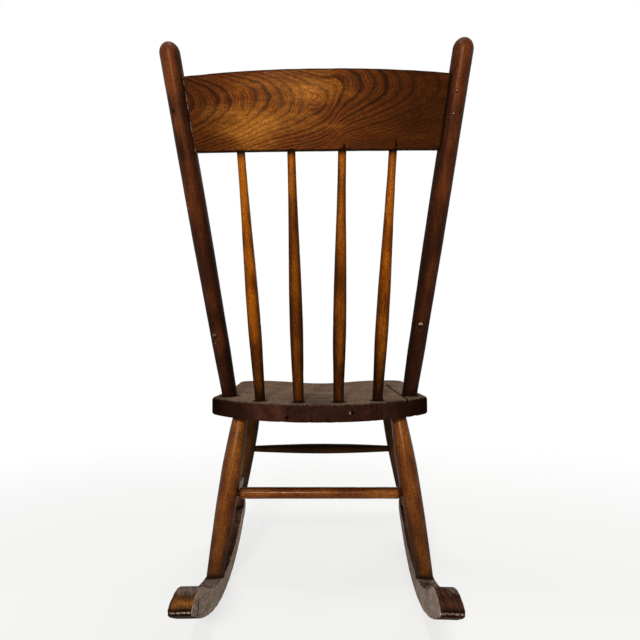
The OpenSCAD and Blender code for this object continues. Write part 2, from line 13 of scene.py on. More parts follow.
import bpy
import numpy as np
from mathutils import Matrix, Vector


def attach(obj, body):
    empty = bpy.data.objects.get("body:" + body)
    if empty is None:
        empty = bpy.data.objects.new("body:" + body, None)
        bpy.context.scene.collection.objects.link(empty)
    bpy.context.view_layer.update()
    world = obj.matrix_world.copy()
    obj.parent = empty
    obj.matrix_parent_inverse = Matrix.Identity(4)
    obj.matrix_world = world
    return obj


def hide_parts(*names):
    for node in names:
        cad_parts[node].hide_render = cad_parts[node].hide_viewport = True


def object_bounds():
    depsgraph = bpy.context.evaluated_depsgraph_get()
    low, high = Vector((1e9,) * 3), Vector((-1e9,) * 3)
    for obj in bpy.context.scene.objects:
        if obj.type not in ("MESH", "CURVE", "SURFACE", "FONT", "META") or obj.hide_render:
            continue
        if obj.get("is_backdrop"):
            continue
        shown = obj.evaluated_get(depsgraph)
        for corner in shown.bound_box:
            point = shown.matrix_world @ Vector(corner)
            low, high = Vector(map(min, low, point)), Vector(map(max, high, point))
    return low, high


bl_info = {
    "name": "Plank Seat Rocking Chair",
    "version": (1, 0, 0),
    "blender": (4, 5, 0),
    "location": "View3D > Sidebar > Rocking Chair",
    "description": "Adds an old armless rocking chair with a plank seat, a crest board and spindles",
    "category": "Add Mesh",
}

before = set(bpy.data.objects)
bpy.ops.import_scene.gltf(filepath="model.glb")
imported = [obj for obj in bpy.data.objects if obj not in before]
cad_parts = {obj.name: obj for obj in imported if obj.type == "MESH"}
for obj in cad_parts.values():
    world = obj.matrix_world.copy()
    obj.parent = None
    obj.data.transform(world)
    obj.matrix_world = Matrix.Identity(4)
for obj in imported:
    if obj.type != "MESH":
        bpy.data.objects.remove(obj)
CAD_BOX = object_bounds()
BODY = "root"
LEFT = 1
RIGHT = -1
SIDES = {"left": LEFT, "right": RIGHT}
ROWS = ("rear", "front")
SPINDLES = (1, 2, 3, 4)


def linear(code):
    """An sRGB hex colour as linear red, green and blue."""
    srgb = np.array([int(code[i:i + 2], 16) for i in (1, 3, 5)]) / 255
    return tuple(float(c) for c in np.where(srgb <= 0.04045, srgb / 12.92, ((srgb + 0.055) / 1.055) ** 2.4))


def size(name, text, default):
    """A length in metres that a user can change."""
    return bpy.props.FloatProperty(name=name, description=text, default=default, precision=4, unit="LENGTH")


def number(name, text, default):
    """A plain number that a user can change."""
    return bpy.props.FloatProperty(name=name, description=text, default=default)


def angle(name, text, default):
    """An angle that a user can change, written in degrees."""
    return bpy.props.FloatProperty(name=name, description=text, default=radians(default), subtype="ANGLE")


def share(name, text, default):
    """A share from 0 to 1 that a user can change."""
    return bpy.props.FloatProperty(
        name=name, description=text, default=default, min=0.0, max=1.0, subtype="FACTOR")


def tint(name, text, code):
    """A colour that a user can change."""
    return bpy.props.FloatVectorProperty(
        name=name, description=text, default=linear(code), size=3, min=0.0, max=1.0, subtype="COLOR")


class ChairSeat(bpy.types.PropertyGroup):
    """Sizes of the plank seat."""
    width: size("Width", "Width across the round rear corners", 0.400)
    depth: size("Depth", "Depth from the middle of the front edge to the middle of the rear edge", 0.402)
    thickness: size("Thickness", "Thickness of the plank", 0.032)
    height: size("Height", "Height of the seat's middle above the floor", 0.3435)
    ahead: size("Ahead", "How far the seat's middle lies ahead of the chair's middle", 0.103906)
    tilt: angle("Tilt", "Backward tilt", 4.1)
    rear_radius: size("Rear radius", "Radius of the bowed rear edge", 0.266)
    lobe_radius: size("Lobe radius", "Radius of the round rear corners", 0.032)
    front_width: size("Front width", "Width across the front corners", 0.394)
    corner_radius: size("Corner radius", "Radius of the front corners", 0.028)
    front_radius: size("Front radius", "Radius of the slightly bowed front edge", 2.0)
    waist_radius: size("Waist radius", "Radius of the hollow sides", 1.5)
    edge_round: size("Upper edge", "Radius of the rounded upper edge", 0.007)
    under_round: size("Lower edge", "Radius of the eased lower edge", 0.004)
    dish_depth: size("Scoop depth", "Depth of the scooped middle", 0.010)
    dish_width: size("Scoop width", "Width of the scoop", 0.310)
    dish_back: size("Scoop rear end", "How far behind the seat's middle the scoop ends", 0.118)
    dish_middle: size("Scoop deepest", "How far ahead of the seat's middle the scoop is deepest", 0.060)
    dish_front: size("Scoop front run", "Length over which the scoop would fade out to the front", 0.400)
    crack_x: size("Split place", "Distance of the long split to the sitter's right of the middle", 0.160)
    crack_width: size("Split width", "Width of the long split at the surface", 0.0016)


class ChairBack(bpy.types.PropertyGroup):
    """Sizes of the posts, the crest board and the spindles."""
    post_x: size("Post place", "Distance of the posts from the middle at the seat", 0.168)
    post_y: size("Post depth", "Distance of the posts behind the seat's middle", 0.094)
    post_length: size("Post length", "Length of a post above the seat", 0.606)
    lean: angle("Lean", "Backward lean of the posts", 19.5)
    flare: angle("Flare", "Outward flare of each post", 6.3)
    post_low: size("Post foot", "Diameter of a post at the seat", 0.0285)
    post_mid: size("Post middle", "Largest diameter of a post", 0.034)
    post_top: size("Post top", "Diameter of a post under its domed end", 0.033)
    dome: size("Dome", "Height of the domed end", 0.018)
    crest_low: size("Crest place", "Height of the board's lower edge above the seat, along the posts", 0.434)
    crest_height: size("Crest height", "Width of the board from its lower edge to its upper corners", 0.115)
    crest_rise: size("Crest rise", "Rise of the upper edge in the middle", 0.008)
    crest_thick: size("Crest thickness", "Thickness of the board", 0.017)
    crest_bow: size("Crest bow", "How far the board bows to the rear in the middle", 0.010)
    crest_gap: size("Shoulder gap", "Gap between the board's shoulders and the posts", 0.0003)
    spindle_low_gap: size("Spindle spacing, low", "Distance between spindles at the seat", 0.068)
    spindle_high_gap: size("Spindle spacing, high", "Distance between spindles at the crest board", 0.0835)
    spindle_inset: size("Spindle inset", "Distance of the spindles ahead of the seat's rear edge", 0.021)
    spindle_low: size("Spindle foot", "Diameter at the seat", 0.0185)
    spindle_mid: size("Spindle swell", "Largest diameter", 0.023)
    spindle_high: size("Spindle top", "Diameter at the crest board", 0.014)
    spindle_bulge: share("Spindle swell place", "Height of the largest diameter, as a share of it all", 0.3)


class ChairLegs(bpy.types.PropertyGroup):
    """Sizes of the legs and the stretchers."""
    rear_x: size("Rear leg place", "Distance of the rear legs from the middle, under the seat", 0.143)
    rear_y: size("Rear leg depth", "Distance of the rear legs behind the seat's middle", 0.121)
    front_x: size("Front leg place", "Distance of the front legs from the middle, under the seat", 0.149)
    front_y: size("Front leg depth", "Distance of the front legs ahead of the seat's middle", 0.108)
    top: size("Leg top", "Diameter under the seat", 0.027)
    mid: size("Leg swell", "Largest diameter", 0.0365)
    foot: size("Leg foot", "Diameter at the rocker", 0.0275)
    bulge: share("Leg swell place", "Height of the largest diameter, as a share of the length", 0.62)
    front_bar_height: size("Front stretcher height", "Height above the floor", 0.203)
    front_bar_mid: size("Front stretcher", "Largest diameter", 0.0225)
    front_bar_end: size("Front stretcher ends", "Diameter of its ends", 0.014)
    rear_bar_height: size("Rear stretcher height", "Height above the floor", 0.170)
    rear_bar_mid: size("Rear stretcher", "Diameter", 0.020)
    rear_bar_end: size("Rear stretcher tenons", "Diameter of its tenons", 0.0115)
    rear_bar_neck: size("Rear stretcher neck", "Bare length of its tenons beside each leg", 0.003)
    side_bar_front: size("Side stretcher, front", "Height at the front leg", 0.141)
    side_bar_rear: size("Side stretcher, rear", "Height at the rear leg", 0.128)
    side_bar_mid: size("Side stretcher", "Largest diameter", 0.020)
    side_bar_end: size("Side stretcher ends", "Diameter of its ends", 0.013)


class ChairRockers(bpy.types.PropertyGroup):
    """Sizes of the rockers."""
    radius: size("Radius", "Radius of the arc that rolls on the floor", 0.666)
    height: size("Height", "Height of a rocker under the legs", 0.031)
    thickness: size("Thickness", "Thickness of a rocker", 0.030)
    gap: size("Spacing", "Distance between the rockers where they touch the floor", 0.366)
    toe: angle("Toe", "Angle by which each rocker turns in towards the rear", 3.3)
    contact: size("Contact", "Distance of the floor contact behind the seat's middle", 0.070)
    rear_foot: size("Rear foot", "Distance of the rear feet behind the contact", 0.086)
    front_foot: size("Front foot", "Distance of the front feet ahead of the contact", 0.223)
    rear: size("Rear length", "Length behind the contact", 0.340)
    front: size("Front length", "Length ahead of the contact", 0.260)
    scoop_start: size("Curl start", "Where the upper edge starts to curl up, behind the contact", 0.111)
    scoop_radius: size("Curl radius", "Radius of the curled upper edge", 0.480)
    hump_radius: size("Scroll radius", "Radius of the round scroll at the tail", 0.092)
    hump_at: size("Scroll place", "Distance of the scroll's top behind the contact", 0.307)
    edge_round: size("Edge", "Radius of the eased edges", 0.0018)


class ChairFinish(bpy.types.PropertyGroup):
    """Colours of the old finish, from the lightest wood to the darkest stain."""
    post_light: tint("Post, light", "Early wood of the posts", "#42190a")
    post_dark: tint("Post, dark", "Late wood of the posts", "#1a0702")
    post_glow: tint("Post, glow", "Thin varnish on the posts", "#743a16")
    crest_light: tint("Crest, light", "Early wood of the crest board", "#74370b")
    crest_dark: tint("Crest, dark", "Late wood of the crest board", "#1f0c03")
    crest_glow: tint("Crest, glow", "Golden streaks of the crest board", "#a86822")
    crest_bare: tint("Crest, worn", "Bare wood along the crest board's shoulder", "#8c786e")
    spindle_light: tint("Spindle, light", "Early wood of the spindles", "#6a3004")
    spindle_dark: tint("Spindle, dark", "Late wood of the spindles", "#2e1103")
    spindle_glow: tint("Spindle, glow", "Golden streaks of the spindles", "#a85a0c")
    leg_light: tint("Leg, light", "Early wood of the legs and stretchers", "#65300c")
    leg_dark: tint("Leg, dark", "Late wood of the legs and stretchers", "#280f04")
    leg_glow: tint("Leg, glow", "Golden streaks of the legs and stretchers", "#8e521c")
    seat_light: tint("Seat, light", "Early wood left on the seat's edge", "#3a2118")
    seat_dark: tint("Seat, dark", "Late wood of the seat", "#1c0f0a")
    seat_glow: tint("Seat, glow", "Thin red-brown varnish on the seat's edge", "#573224")
    # The worn seat colour is lightened to stand also for the grey sheen of the worn top: partly painted
    # sheen.
    seat_bare: tint("Seat, worn", "Dull wood where sitters wore the varnish off", "#8c735f")
    rocker_light: tint("Rocker, light", "Early wood of the rockers", "#573626")
    rocker_dark: tint("Rocker, dark", "Late wood of the rockers", "#231410")
    rocker_glow: tint("Rocker, glow", "Thin golden varnish on the rockers' tails", "#9a6026")
    # The rockers' worn colour also paints the highlight line at the end of each tail.
    rocker_bare: tint("Rocker, worn", "Dull bare wood on the rockers' sides", "#bba898")
    # This grime colour is also what painted shade darkens towards.
    grime_and_shade_colour: tint("Grime", "Dirt and thick old varnish in corners", "#0d0603")
    # A painted highlight: the pale colour that stands for light caught on the heads of nails and screws.
    iron_highlight: tint("Iron, rubbed", "Old iron where it is rubbed bright", "#b8a090")
    iron: tint("Iron", "Old iron of nails and screws", "#2b201a")
    rust: tint("Iron, rusty", "Dark rust on the nails and screws", "#140b07")


class ChairStudio(bpy.types.PropertyGroup):
    """The camera, the floor and the lamps."""
    camera: bpy.props.FloatVectorProperty(
        name="Camera", description="Place of the camera", default=(-0.0168, 0.9264, 0.3910), unit="LENGTH")
    heading: angle("Heading", "Turn of the camera to the side", -0.92)
    pitch: angle("Pitch", "Upward tilt of the camera", 5.365)
    roll: angle("Roll", "Turn of the camera about its view", -0.243)
    lens: number("Lens", "Focal length in millimetres", 27.83)
    floor: tint("Floor", "Pale floor", "#efece6")
    reach: size("Floor reach", "Distance at which the floor has faded into the background", 1.9)
    key: number("Key lamp", "Power of the lamp behind the chair, in watts", 31.0)
    fill: number("Fill lamp", "Power of the lamp before the chair, in watts", 30.0)
    top: number("Top lamp", "Power of the lamp above the chair, in watts", 12.0)
    sky: number("Room light", "Strength of the light all round", 0.14)


GROUPS = {"seat": ChairSeat, "back": ChairBack, "legs": ChairLegs, "rockers": ChairRockers,
          "finish": ChairFinish, "studio": ChairStudio}


def chosen(group):
    """The sizes or colours of one group, as they are set in the scene."""
    return getattr(bpy.context.scene, "chair_" + group)


# Numbers and curves

def stack(*parts):
    """Numbers and arrays put together as the coordinates of points."""
    return np.stack(np.broadcast_arrays(*parts), axis=-1).astype(float)


def unit(v):
    """Vectors of length 1."""
    return v / np.linalg.norm(v, axis=-1, keepdims=True)


def mix(a, b, t):
    """The value that lies at share t between a and b."""
    return a + (b - a) * t


def climb(value, start, run):
    """0 up to the start, then rising evenly to 1 over the run, which is negative for a fall to the start."""
    return np.clip((value - start) / run, 0, 1)


def wedge(gap, width):
    """1 on a line, and evenly down to 0 at the width from it."""
    return np.clip(1 - gap / width, 0, 1)


def bell(value, middle, width):
    """A bell curve: 1 at the middle, and 0.37 at the width from it."""
    return np.exp(-((value - middle) / width) ** 2)


def falloff(gap, reach):
    """A share that fades out with the distance from a joint or an edge: for dirt, painted shade and wear."""
    return np.exp(-(np.clip(gap, 0, None) / reach) ** 1.5)


def ripple(points, length, seed):
    """Smooth unevenness from about -1 to 1: the mean of eight sine waves in seeded directions, with wave
    lengths from half to twice the given length."""
    rng = np.random.default_rng(seed)
    ways = unit(rng.normal(size=(8, points.shape[-1])))
    lengths = length * 2 ** rng.uniform(-1, 1, 8)
    phases = rng.uniform(0, 2 * pi, 8)
    return np.sin(2 * pi * (points @ ways.T) / lengths + phases).mean(axis=-1) * 2


def dents(points, seed, count, depth, radius):
    """Depth of a number of small knocks, each a round dip with the fall of a bell curve, at seeded points."""
    rng = np.random.default_rng(seed)
    total = np.zeros(len(points))
    for at in rng.choice(len(points), count):
        wide = radius * rng.uniform(0.5, 1.4)
        deep = depth * rng.uniform(0.3, 1.0)
        total = np.maximum(total, deep * np.exp(-((points - points[at]) ** 2).sum(-1) / wide ** 2))
    return total


def handwork(points, depth, length, seed, knocks, knock_seed, knock_depth, knock_radius):
    """How far the surface lies below its true form: an uneven hand cut ripples of this depth and length
    into it, and later came a number of small knocks."""
    uneven = depth * np.clip(1 + ripple(points, length, seed), 0, None)
    return uneven + dents(points, knock_seed, knocks, knock_depth, knock_radius)


def eased(h, stations):
    """Radius at heights h, going from station to station of (height, radius) with half a cosine wave."""
    at, radius = np.array(stations).T
    k = np.clip(np.searchsorted(at, h, side="right") - 1, 0, len(at) - 2)
    t = np.clip((h - at[k]) / (at[k + 1] - at[k]), 0, 1)
    return mix(radius[k], radius[k + 1], (1 - np.cos(pi * t)) / 2)


def barrel(t, low, mid, high, bulge):
    """Radius at shares t of a length: it swells as a sine up to the bulge, and shrinks again as a cosine."""
    rising = mix(low, mid, np.sin(pi / 2 * np.clip(t / bulge, 0, 1)))
    falling = mix(mid, high, 1 - np.cos(pi / 2 * np.clip((t - bulge) / (1 - bulge), 0, 1)))
    return np.where(t < bulge, rising, falling)


def arc(centre, radius, start, stop, count=40):
    """Points along an arc from angle start to angle stop, both in radians."""
    a = np.linspace(start, stop, count)
    return np.asarray(centre) + radius * stack(np.cos(a), np.sin(a))


def chain(*curves):
    """Curves joined end to end, with each shared point kept once."""
    return np.concatenate([curves[0]] + [c[1:] for c in curves[1:]])


def resample(curve, shares):
    """Points of a curve at the given shares of its length."""
    along = np.concatenate([[0], np.cumsum(np.linalg.norm(np.diff(curve, axis=0), axis=1))])
    at = np.asarray(shares) * along[-1]
    return stack(*[np.interp(at, along, curve[:, k]) for k in range(curve.shape[1])])


def gathered(count, centres=(), spread=0.0, offsets=(-1.0, -0.45, 0.0, 0.45, 1.0)):
    """Shares from 0 to 1: a count of even ones, and a group round each centre, at the offsets times the
    spread, so that a split has its own columns. Even ones that lie within 1.3 of the group's smallest step
    are left out, and so is one of two that fall together."""
    even = np.linspace(0, 1, count)
    extra = np.array([c + spread * o for c in centres for o in offsets])
    if len(extra):
        step = spread * np.diff(offsets).min()
        far = np.abs(even[:, None] - extra[None]).min(axis=1) > 1.3 * step
        far[[0, -1]] = True
        even = np.sort(np.concatenate([even[far], extra]))
        even = even[np.diff(even, prepend=-1) > 0.1 * step]
    return even


def outline_waver(u, v, span, length, seed):
    """Unevenness along the outline of a board with these columns and rows, in waves of this length where
    the whole outline counts as span long."""
    return ripple(np.linspace(0, span, 2 * (len(u) + len(v)) - 4)[:, None], length, seed)


def inset(loop, depth):
    """A closed loop, counterclockwise, moved inwards by depth along the mitres between its edges."""
    edge = unit(np.roll(loop, -1, axis=0) - loop)
    inward = stack(-edge[:, 1], edge[:, 0])
    before = np.roll(inward, 1, axis=0)
    mitre = (inward + before) / (1 + (inward * before).sum(-1, keepdims=True))
    return loop + mitre * np.broadcast_to(depth, len(loop))[:, None]


def patch(bottom, top, left, right, u, v):
    """A grid between four edges: the straight blend of bottom and top, plus that of left and right, less
    that of the four corners (a Coons patch)."""
    u = u[None, :, None]
    v = v[:, None, None]
    ruled = mix(bottom[None], top[None], v) + mix(left[:, None], right[:, None], u)
    corners = mix(mix(bottom[0], bottom[-1], u), mix(top[0], top[-1], u), v)
    return ruled - corners


# Bodies of surfaces

def board(sides, u, v, thick, ease_up, ease_down, steps=5, walls=6):
    """A closed board with eased edges. sides are its bottom, right, top and left edges in the plane, as
    curves that run from the left or from the bottom. Both faces are patches, and between them rings
    follow the outline: a quarter circle, a straight wall and a quarter circle.
    Returns the places in the plane, the level above the middle plane, the outward directions, how near
    each point is to an edge, and the faces."""
    n, m = len(u), len(v)
    bottom, right, top, left = [resample(c, t) for c, t in zip(sides, (u, v, u, v))]
    loop = np.concatenate([bottom[:-1], right[:-1], top[:0:-1], left[:0:-1]])
    ease_up = np.broadcast_to(ease_up, len(loop))
    ease_down = np.broadcast_to(ease_down, len(loop))
    half = thick / 2
    outward = loop - inset(loop, 1.0)

    def face(depth):
        ring = inset(loop, depth)
        closed = np.concatenate([ring, ring[:1]])
        return patch(ring[:n], closed[n + m - 2:2 * n + m - 2][::-1], closed[2 * n + m - 3:][::-1],
                     ring[n - 1:n + m - 1], u, v).reshape(-1, 2)

    rows, columns = np.arange(m), np.arange(n)
    rim = np.concatenate([columns[:-1], rows[:-1] * n + n - 1, (m - 1) * n + columns[:0:-1],
                          rows[:0:-1] * n])
    span_u = np.linalg.norm(np.diff(bottom, axis=0), axis=1).sum()
    span_v = np.linalg.norm(np.diff(left, axis=0), axis=1).sum()
    reach = np.minimum(np.minimum(u, 1 - u)[None] * span_u, np.minimum(v, 1 - v)[:, None] * span_v).ravel()
    flat, level, out = [face(ease_up)], [np.full(n * m, half)], [np.tile([0, 0, 1.0], (n * m, 1))]
    near = [np.exp(-reach / 0.004)]
    # Each ring as how far it lies inside the outline, its level and the tilt of its outward direction.
    rings = [(ease_up * (1 - cos(a)), half - ease_up * (1 - sin(a)), a)
             for a in pi / 2 * (1 - np.arange(1, steps + 1) / steps)]
    rings += [(0 * ease_up, mix(half - ease_up, ease_down - half, k / walls), 0.0)
              for k in range(1, walls + 1)]
    rings += [(ease_down * (1 - cos(a)), ease_down * (1 - sin(a)) - half, -a)
              for a in pi / 2 * np.arange(1, steps) / steps]
    for depth, height, a in rings:
        flat.append(inset(loop, depth))
        level.append(np.broadcast_to(height, len(loop)))
        out.append(unit(stack(outward[:, 0] * cos(a), outward[:, 1] * cos(a), sin(a))))
        near.append(np.full(len(loop), 1.0 if a else 0.6))
    flat.append(face(ease_down))
    level.append(np.full(n * m, -half))
    out.append(np.tile([0, 0, -1.0], (n * m, 1)))
    near.append(near[0])

    first = n * m
    last = first + len(rings) * len(loop)
    loops = np.concatenate([rim[None], first + np.arange(len(rings) * len(loop)).reshape(len(rings), -1),
                            last + rim[None]])
    j, i = np.meshgrid(rows[:-1], columns[:-1], indexing="ij")
    a = (j * n + i).ravel()
    face_up = stack(a, a + 1, a + 1 + n, a + n)
    upper, lower = loops[:-1], loops[1:]
    band = stack(upper, lower, np.roll(lower, -1, axis=1), np.roll(upper, -1, axis=1)).reshape(-1, 4)
    quads = np.concatenate([face_up, last + face_up[:, ::-1], band]).astype(int)
    return np.concatenate(flat), np.concatenate(level), np.concatenate(out), np.concatenate(near), quads


def turned(start, end, heights, radii, columns):
    """A turned body: at each height along the line from start to end lies a ring of the given radius, and
    each end closes in one point. Returns the places in the piece's own axes, the matrix that turns them
    into the frame's, the outward directions, the quads and the end triangles."""
    axis = unit(end - start)
    beside = unit(np.cross(axis, (0, 1, 0) if abs(axis[1]) < 0.8 else (0, 0, 1)))
    turn = np.stack([beside, np.cross(axis, beside), axis])
    round_ = np.arange(columns) * 2 * pi / columns
    ring = stack(np.cos(round_), np.sin(round_), 0)
    rows = len(heights)
    local = radii[:, None, None] * ring + heights[:, None, None] * np.array([0, 0, 1.0])
    local = np.concatenate([local.reshape(-1, 3), [[0, 0, heights[0]], [0, 0, heights[-1]]]])
    out = np.concatenate([np.tile(ring, (rows, 1)), [[0, 0, -1.0], [0, 0, 1.0]]])
    at = np.arange(rows * columns).reshape(rows, columns)
    after = np.roll(at, -1, axis=1)
    quads = stack(at[:-1], after[:-1], after[1:], at[1:]).reshape(-1, 4).astype(int)
    ends = np.concatenate([stack(rows * columns, after[0], at[0]),
                           stack(rows * columns + 1, at[-1], after[-1])]).astype(int)
    return local, turn, out, quads, ends


# The end triangles of a board, which has none.
NO_ENDS = np.empty((0, 3), int)


def rings_round(grain, pith, drift, length, seed):
    """Distance of each point from the pith, a line along the grain that lies at pith beside the piece and
    wanders by drift, so that the rings meet the surface in long pointed arches."""
    along = grain[:, 2:3]
    sway = drift * stack(ripple(along, length, seed), ripple(along, length, seed + 1))
    return np.linalg.norm(grain[:, :2] - np.asarray(pith) - sway, axis=1)


def add_piece(name, points, quads, ends, material, nodes, grain, figure, grime_and_shade, gilt_and_sheen, worn_and_glint):
    """Puts a surface into the scene with its fields, material and slot, riding on the chair's body in the
    place of its CAD nodes."""
    corners = np.concatenate([quads.ravel(), ends.ravel()]).astype(np.int32)
    starts = np.concatenate([4 * np.arange(len(quads)), 4 * len(quads) + 3 * np.arange(len(ends))])
    mesh = bpy.data.meshes.new(name)
    mesh.vertices.add(len(points))
    mesh.vertices.foreach_set("co", points.astype(np.float32).ravel())
    mesh.loops.add(len(corners))
    mesh.loops.foreach_set("vertex_index", corners)
    mesh.polygons.add(len(starts))
    mesh.polygons.foreach_set("loop_start", starts.astype(np.int32))
    mesh.update(calc_edges=True)
    mesh.polygons.foreach_set("use_smooth", np.ones(len(starts), bool))
    grain_layer = mesh.attributes.new("grain", "FLOAT_VECTOR", "POINT")
    grain_layer.data.foreach_set("vector", grain.astype(np.float32).ravel())
    for field, values in {"figure": figure, "grime_and_shade": grime_and_shade, "gilt_and_sheen": gilt_and_sheen, "worn_and_glint": worn_and_glint}.items():
        values = np.broadcast_to(values, len(points)).astype(np.float32)
        mesh.attributes.new(field, "FLOAT", "POINT").data.foreach_set("value", values)
    if mesh.validate():
        raise RuntimeError(f"the mesh of {name} has faulty faces")
    mesh.materials.append(material)
    piece = bpy.data.objects.new(name, mesh)
    bpy.context.scene.collection.objects.link(piece)
    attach(piece, BODY)
    if nodes:
        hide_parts(*nodes)
    return piece


# Places in the chair

def seat_point(x, y, z=0.0):
    """A place given in the seat's own plane: across, to the rear and up from its middle. The plane is
    tilted back about the X axis."""
    s = chosen("seat")
    y, z = np.asarray(y, float), np.asarray(z, float)
    return stack(x, y * cos(s.tilt) + z * sin(s.tilt) - s.ahead, s.height - y * sin(s.tilt) + z * cos(s.tilt))


def back_point(x, rear, up):
    """A place given in the leaning plane of the back, from between the posts' feet: across, to the rear
    and up."""
    b = chosen("back")
    rear, up = np.asarray(rear, float), np.asarray(up, float)
    return seat_point(0, b.post_y) + stack(
        x, rear * cos(b.lean) + up * sin(b.lean), up * cos(b.lean) - rear * sin(b.lean))


def post_x_at(up):
    """Distance of a post's axis from the middle at a height along the back."""
    b = chosen("back")
    return b.post_x + up * tan(b.flare)


def post_radius(h):
    """Radius of a post at heights along it: a slow swell to the middle, slowest above its first fifth, then
    a slight neck and an elliptic dome."""
    b = chosen("back")
    swell = mix(b.post_low, b.post_mid, 0.55)
    shoulder = b.post_length - b.dome
    shaft = eased(h, [(-0.1, b.post_low / 2), (0, b.post_low / 2), (0.18 * b.post_length, swell / 2),
                      (0.55 * b.post_length, b.post_mid / 2), (shoulder, b.post_top / 2)])
    crown = np.sqrt(np.clip(1 - (np.clip(h - shoulder, 0, None) / b.dome) ** 2, 0, 1))
    return np.where(h > shoulder, b.post_top / 2 * crown, shaft)


def on_post(side, up, inward):
    """The place and the outward direction on a post's rear at a height, beside its axis."""
    b = chosen("back")
    rear = sqrt(float(post_radius(np.array(up / cos(b.flare)))) ** 2 - inward ** 2)
    return (back_point(side * (post_x_at(up) - inward), rear, up),
            back_point(-side * inward, rear, 0) - back_point(0, 0, 0))


# An old knock on the left post, as its height along the back and its distance outwards from the axis.
KNOCK = (0.498, 0.007)


def old_fixings():
    """Nails and screws in the posts, as (group, side, height, distance inwards from the axis, radius, how
    proud, how strong its painted highlight): two nails through each end of the crest board, and a screw
    and a nail that once held each arm."""
    b = chosen("back")
    top = b.crest_low + b.crest_height
    return [("crest", LEFT, top - 0.027, 0.003, 0.0013, 0.0003, 0.07),
            ("crest", LEFT, top - 0.061, 0.003, 0.0013, 0.0003, 0.07),
            ("crest", RIGHT, top - 0.027, 0.003, 0.0016, 0.0008, 1.3),
            ("crest", RIGHT, top - 0.061, 0.003, 0.0016, 0.0008, 1.1),
            ("arm", LEFT, 0.1215, -0.0052, 0.0046, 0.0014, 0.45),
            ("arm", LEFT, 0.1070, -0.0060, 0.0014, 0.0008, 0.5),
            ("arm", RIGHT, 0.1400, 0.0025, 0.0046, 0.0022, 1.3),
            ("arm", RIGHT, 0.1285, 0.0025, 0.0016, 0.0008, 0.2)]


def crest_rear(x):
    """How far the crest board's middle plane lies to the rear at a distance from the middle: an arc."""
    b = chosen("back")
    half = post_x_at(b.crest_low + b.crest_height / 2) - b.post_mid / 2
    radius = (half ** 2 + b.crest_bow ** 2) / (2 * b.crest_bow)
    return b.crest_bow - radius + np.sqrt(radius ** 2 - x ** 2)


def crest_top(x):
    """Height of the board's upper edge at a distance from the middle: an arc."""
    b = chosen("back")
    corner = b.crest_low + b.crest_height
    radius = (post_x_at(corner) ** 2 + b.crest_rise ** 2) / (2 * b.crest_rise)
    return corner + b.crest_rise - radius + np.sqrt(radius ** 2 - x ** 2)


def crest_end(up, rear=0.0):
    """Distance of the board's shoulder from the middle, where it is scribed to the round post. Past the
    post's tip the radius stays just above zero."""
    b = chosen("back")
    radius = np.maximum(post_radius(up / cos(b.flare)), 1e-6)
    chord = np.sqrt(np.clip(1 - (rear / radius) ** 2, 0, 1))
    return post_x_at(up) - radius / cos(b.flare) * chord - b.crest_gap


def rear_edge(x):
    """How far behind the seat's middle its rear edge lies."""
    s = chosen("seat")
    return s.depth / 2 - s.rear_radius + np.sqrt(s.rear_radius ** 2 - x ** 2)


def spindle_ends(number):
    """The foot and the top of a spindle. Number 1 stands at the sitter's left."""
    b = chosen("back")
    place = 2.5 - number
    low, high = place * b.spindle_low_gap, place * b.spindle_high_gap
    return (seat_point(low, rear_edge(low) - b.spindle_inset),
            back_point(high, crest_rear(high), b.crest_low))


def rocker_point(side, along, up, beside=0.0):
    """A place given along a rocker from the floor contact to the rear, up from the floor, and beside the
    rocker's middle plane towards +X."""
    s, r = chosen("seat"), chosen("rockers")
    return stack(side * (r.gap / 2 - np.asarray(along) * sin(r.toe)) + beside * cos(r.toe),
                 r.contact - s.ahead + np.asarray(along) * cos(r.toe) + side * beside * sin(r.toe), up)


def rocker_top(along):
    """Height of a rocker's upper edge between the legs."""
    r = chosen("rockers")
    return r.radius - np.sqrt((r.radius - r.height) ** 2 - np.asarray(along, float) ** 2)


def leg_ends(side, row):
    """The foot and the top of a leg."""
    s, g, r = chosen("seat"), chosen("legs"), chosen("rockers")
    along = r.rear_foot if row == "rear" else -r.front_foot
    x, y = (g.rear_x, g.rear_y) if row == "rear" else (g.front_x, -g.front_y)
    return rocker_point(side, along, rocker_top(along)), seat_point(side * x, y, -s.thickness)


def leg_at(side, row, height):
    """The point of a leg's axis at a height above the floor, and the leg's radius there."""
    g = chosen("legs")
    foot, top = leg_ends(side, row)
    t = (height - foot[2]) / (top[2] - foot[2])
    return mix(foot, top, t), float(barrel(np.array(t), g.foot, g.mid, g.top, g.bulge)) / 2


def line_gap(points, start, end):
    """Distance of points from the straight line through start and end."""
    axis = unit(end - start)
    away = points - start
    return np.linalg.norm(away - (away @ axis)[:, None] * axis, axis=1)


def joint_dirt(points, joints, reach):
    """Dirt round the joints where round pieces enter a board, each given as (start, end, radius)."""
    return np.max([falloff(line_gap(points, start, end) - radius, reach) for start, end, radius in joints],
                  axis=0)


# Wood

def add(tree, kind, links=(), ramp=(), output=None, **settings):
    """Adds a shader node and returns its output of that name, or else the first one in use. settings are
    its own properties, links its sockets by name or number, each with a value or another node's output, and
    ramp the (place, colour) stops of a colour ramp."""
    node = tree.nodes.new("ShaderNode" + kind)
    for key, value in settings.items():
        setattr(node, key, value)
    for key, value in dict(links).items():
        if isinstance(value, bpy.types.NodeSocket):
            tree.links.new(value, node.inputs[key])
        else:
            node.inputs[key].default_value = value
    for k, (place, level) in enumerate(ramp):
        stop = node.color_ramp.elements[k] if k < 2 else node.color_ramp.elements.new(place)
        stop.position = place
        stop.color = (*level, 1.0) if hasattr(level, "__len__") else (level, level, level, 1.0)
    return node.outputs[output] if output else next((o for o in node.outputs if o.enabled), None)


def new_tree(thing):
    """The empty node tree of a new material or world."""
    thing.use_nodes = True
    thing.node_tree.nodes.clear()
    return thing.node_tree


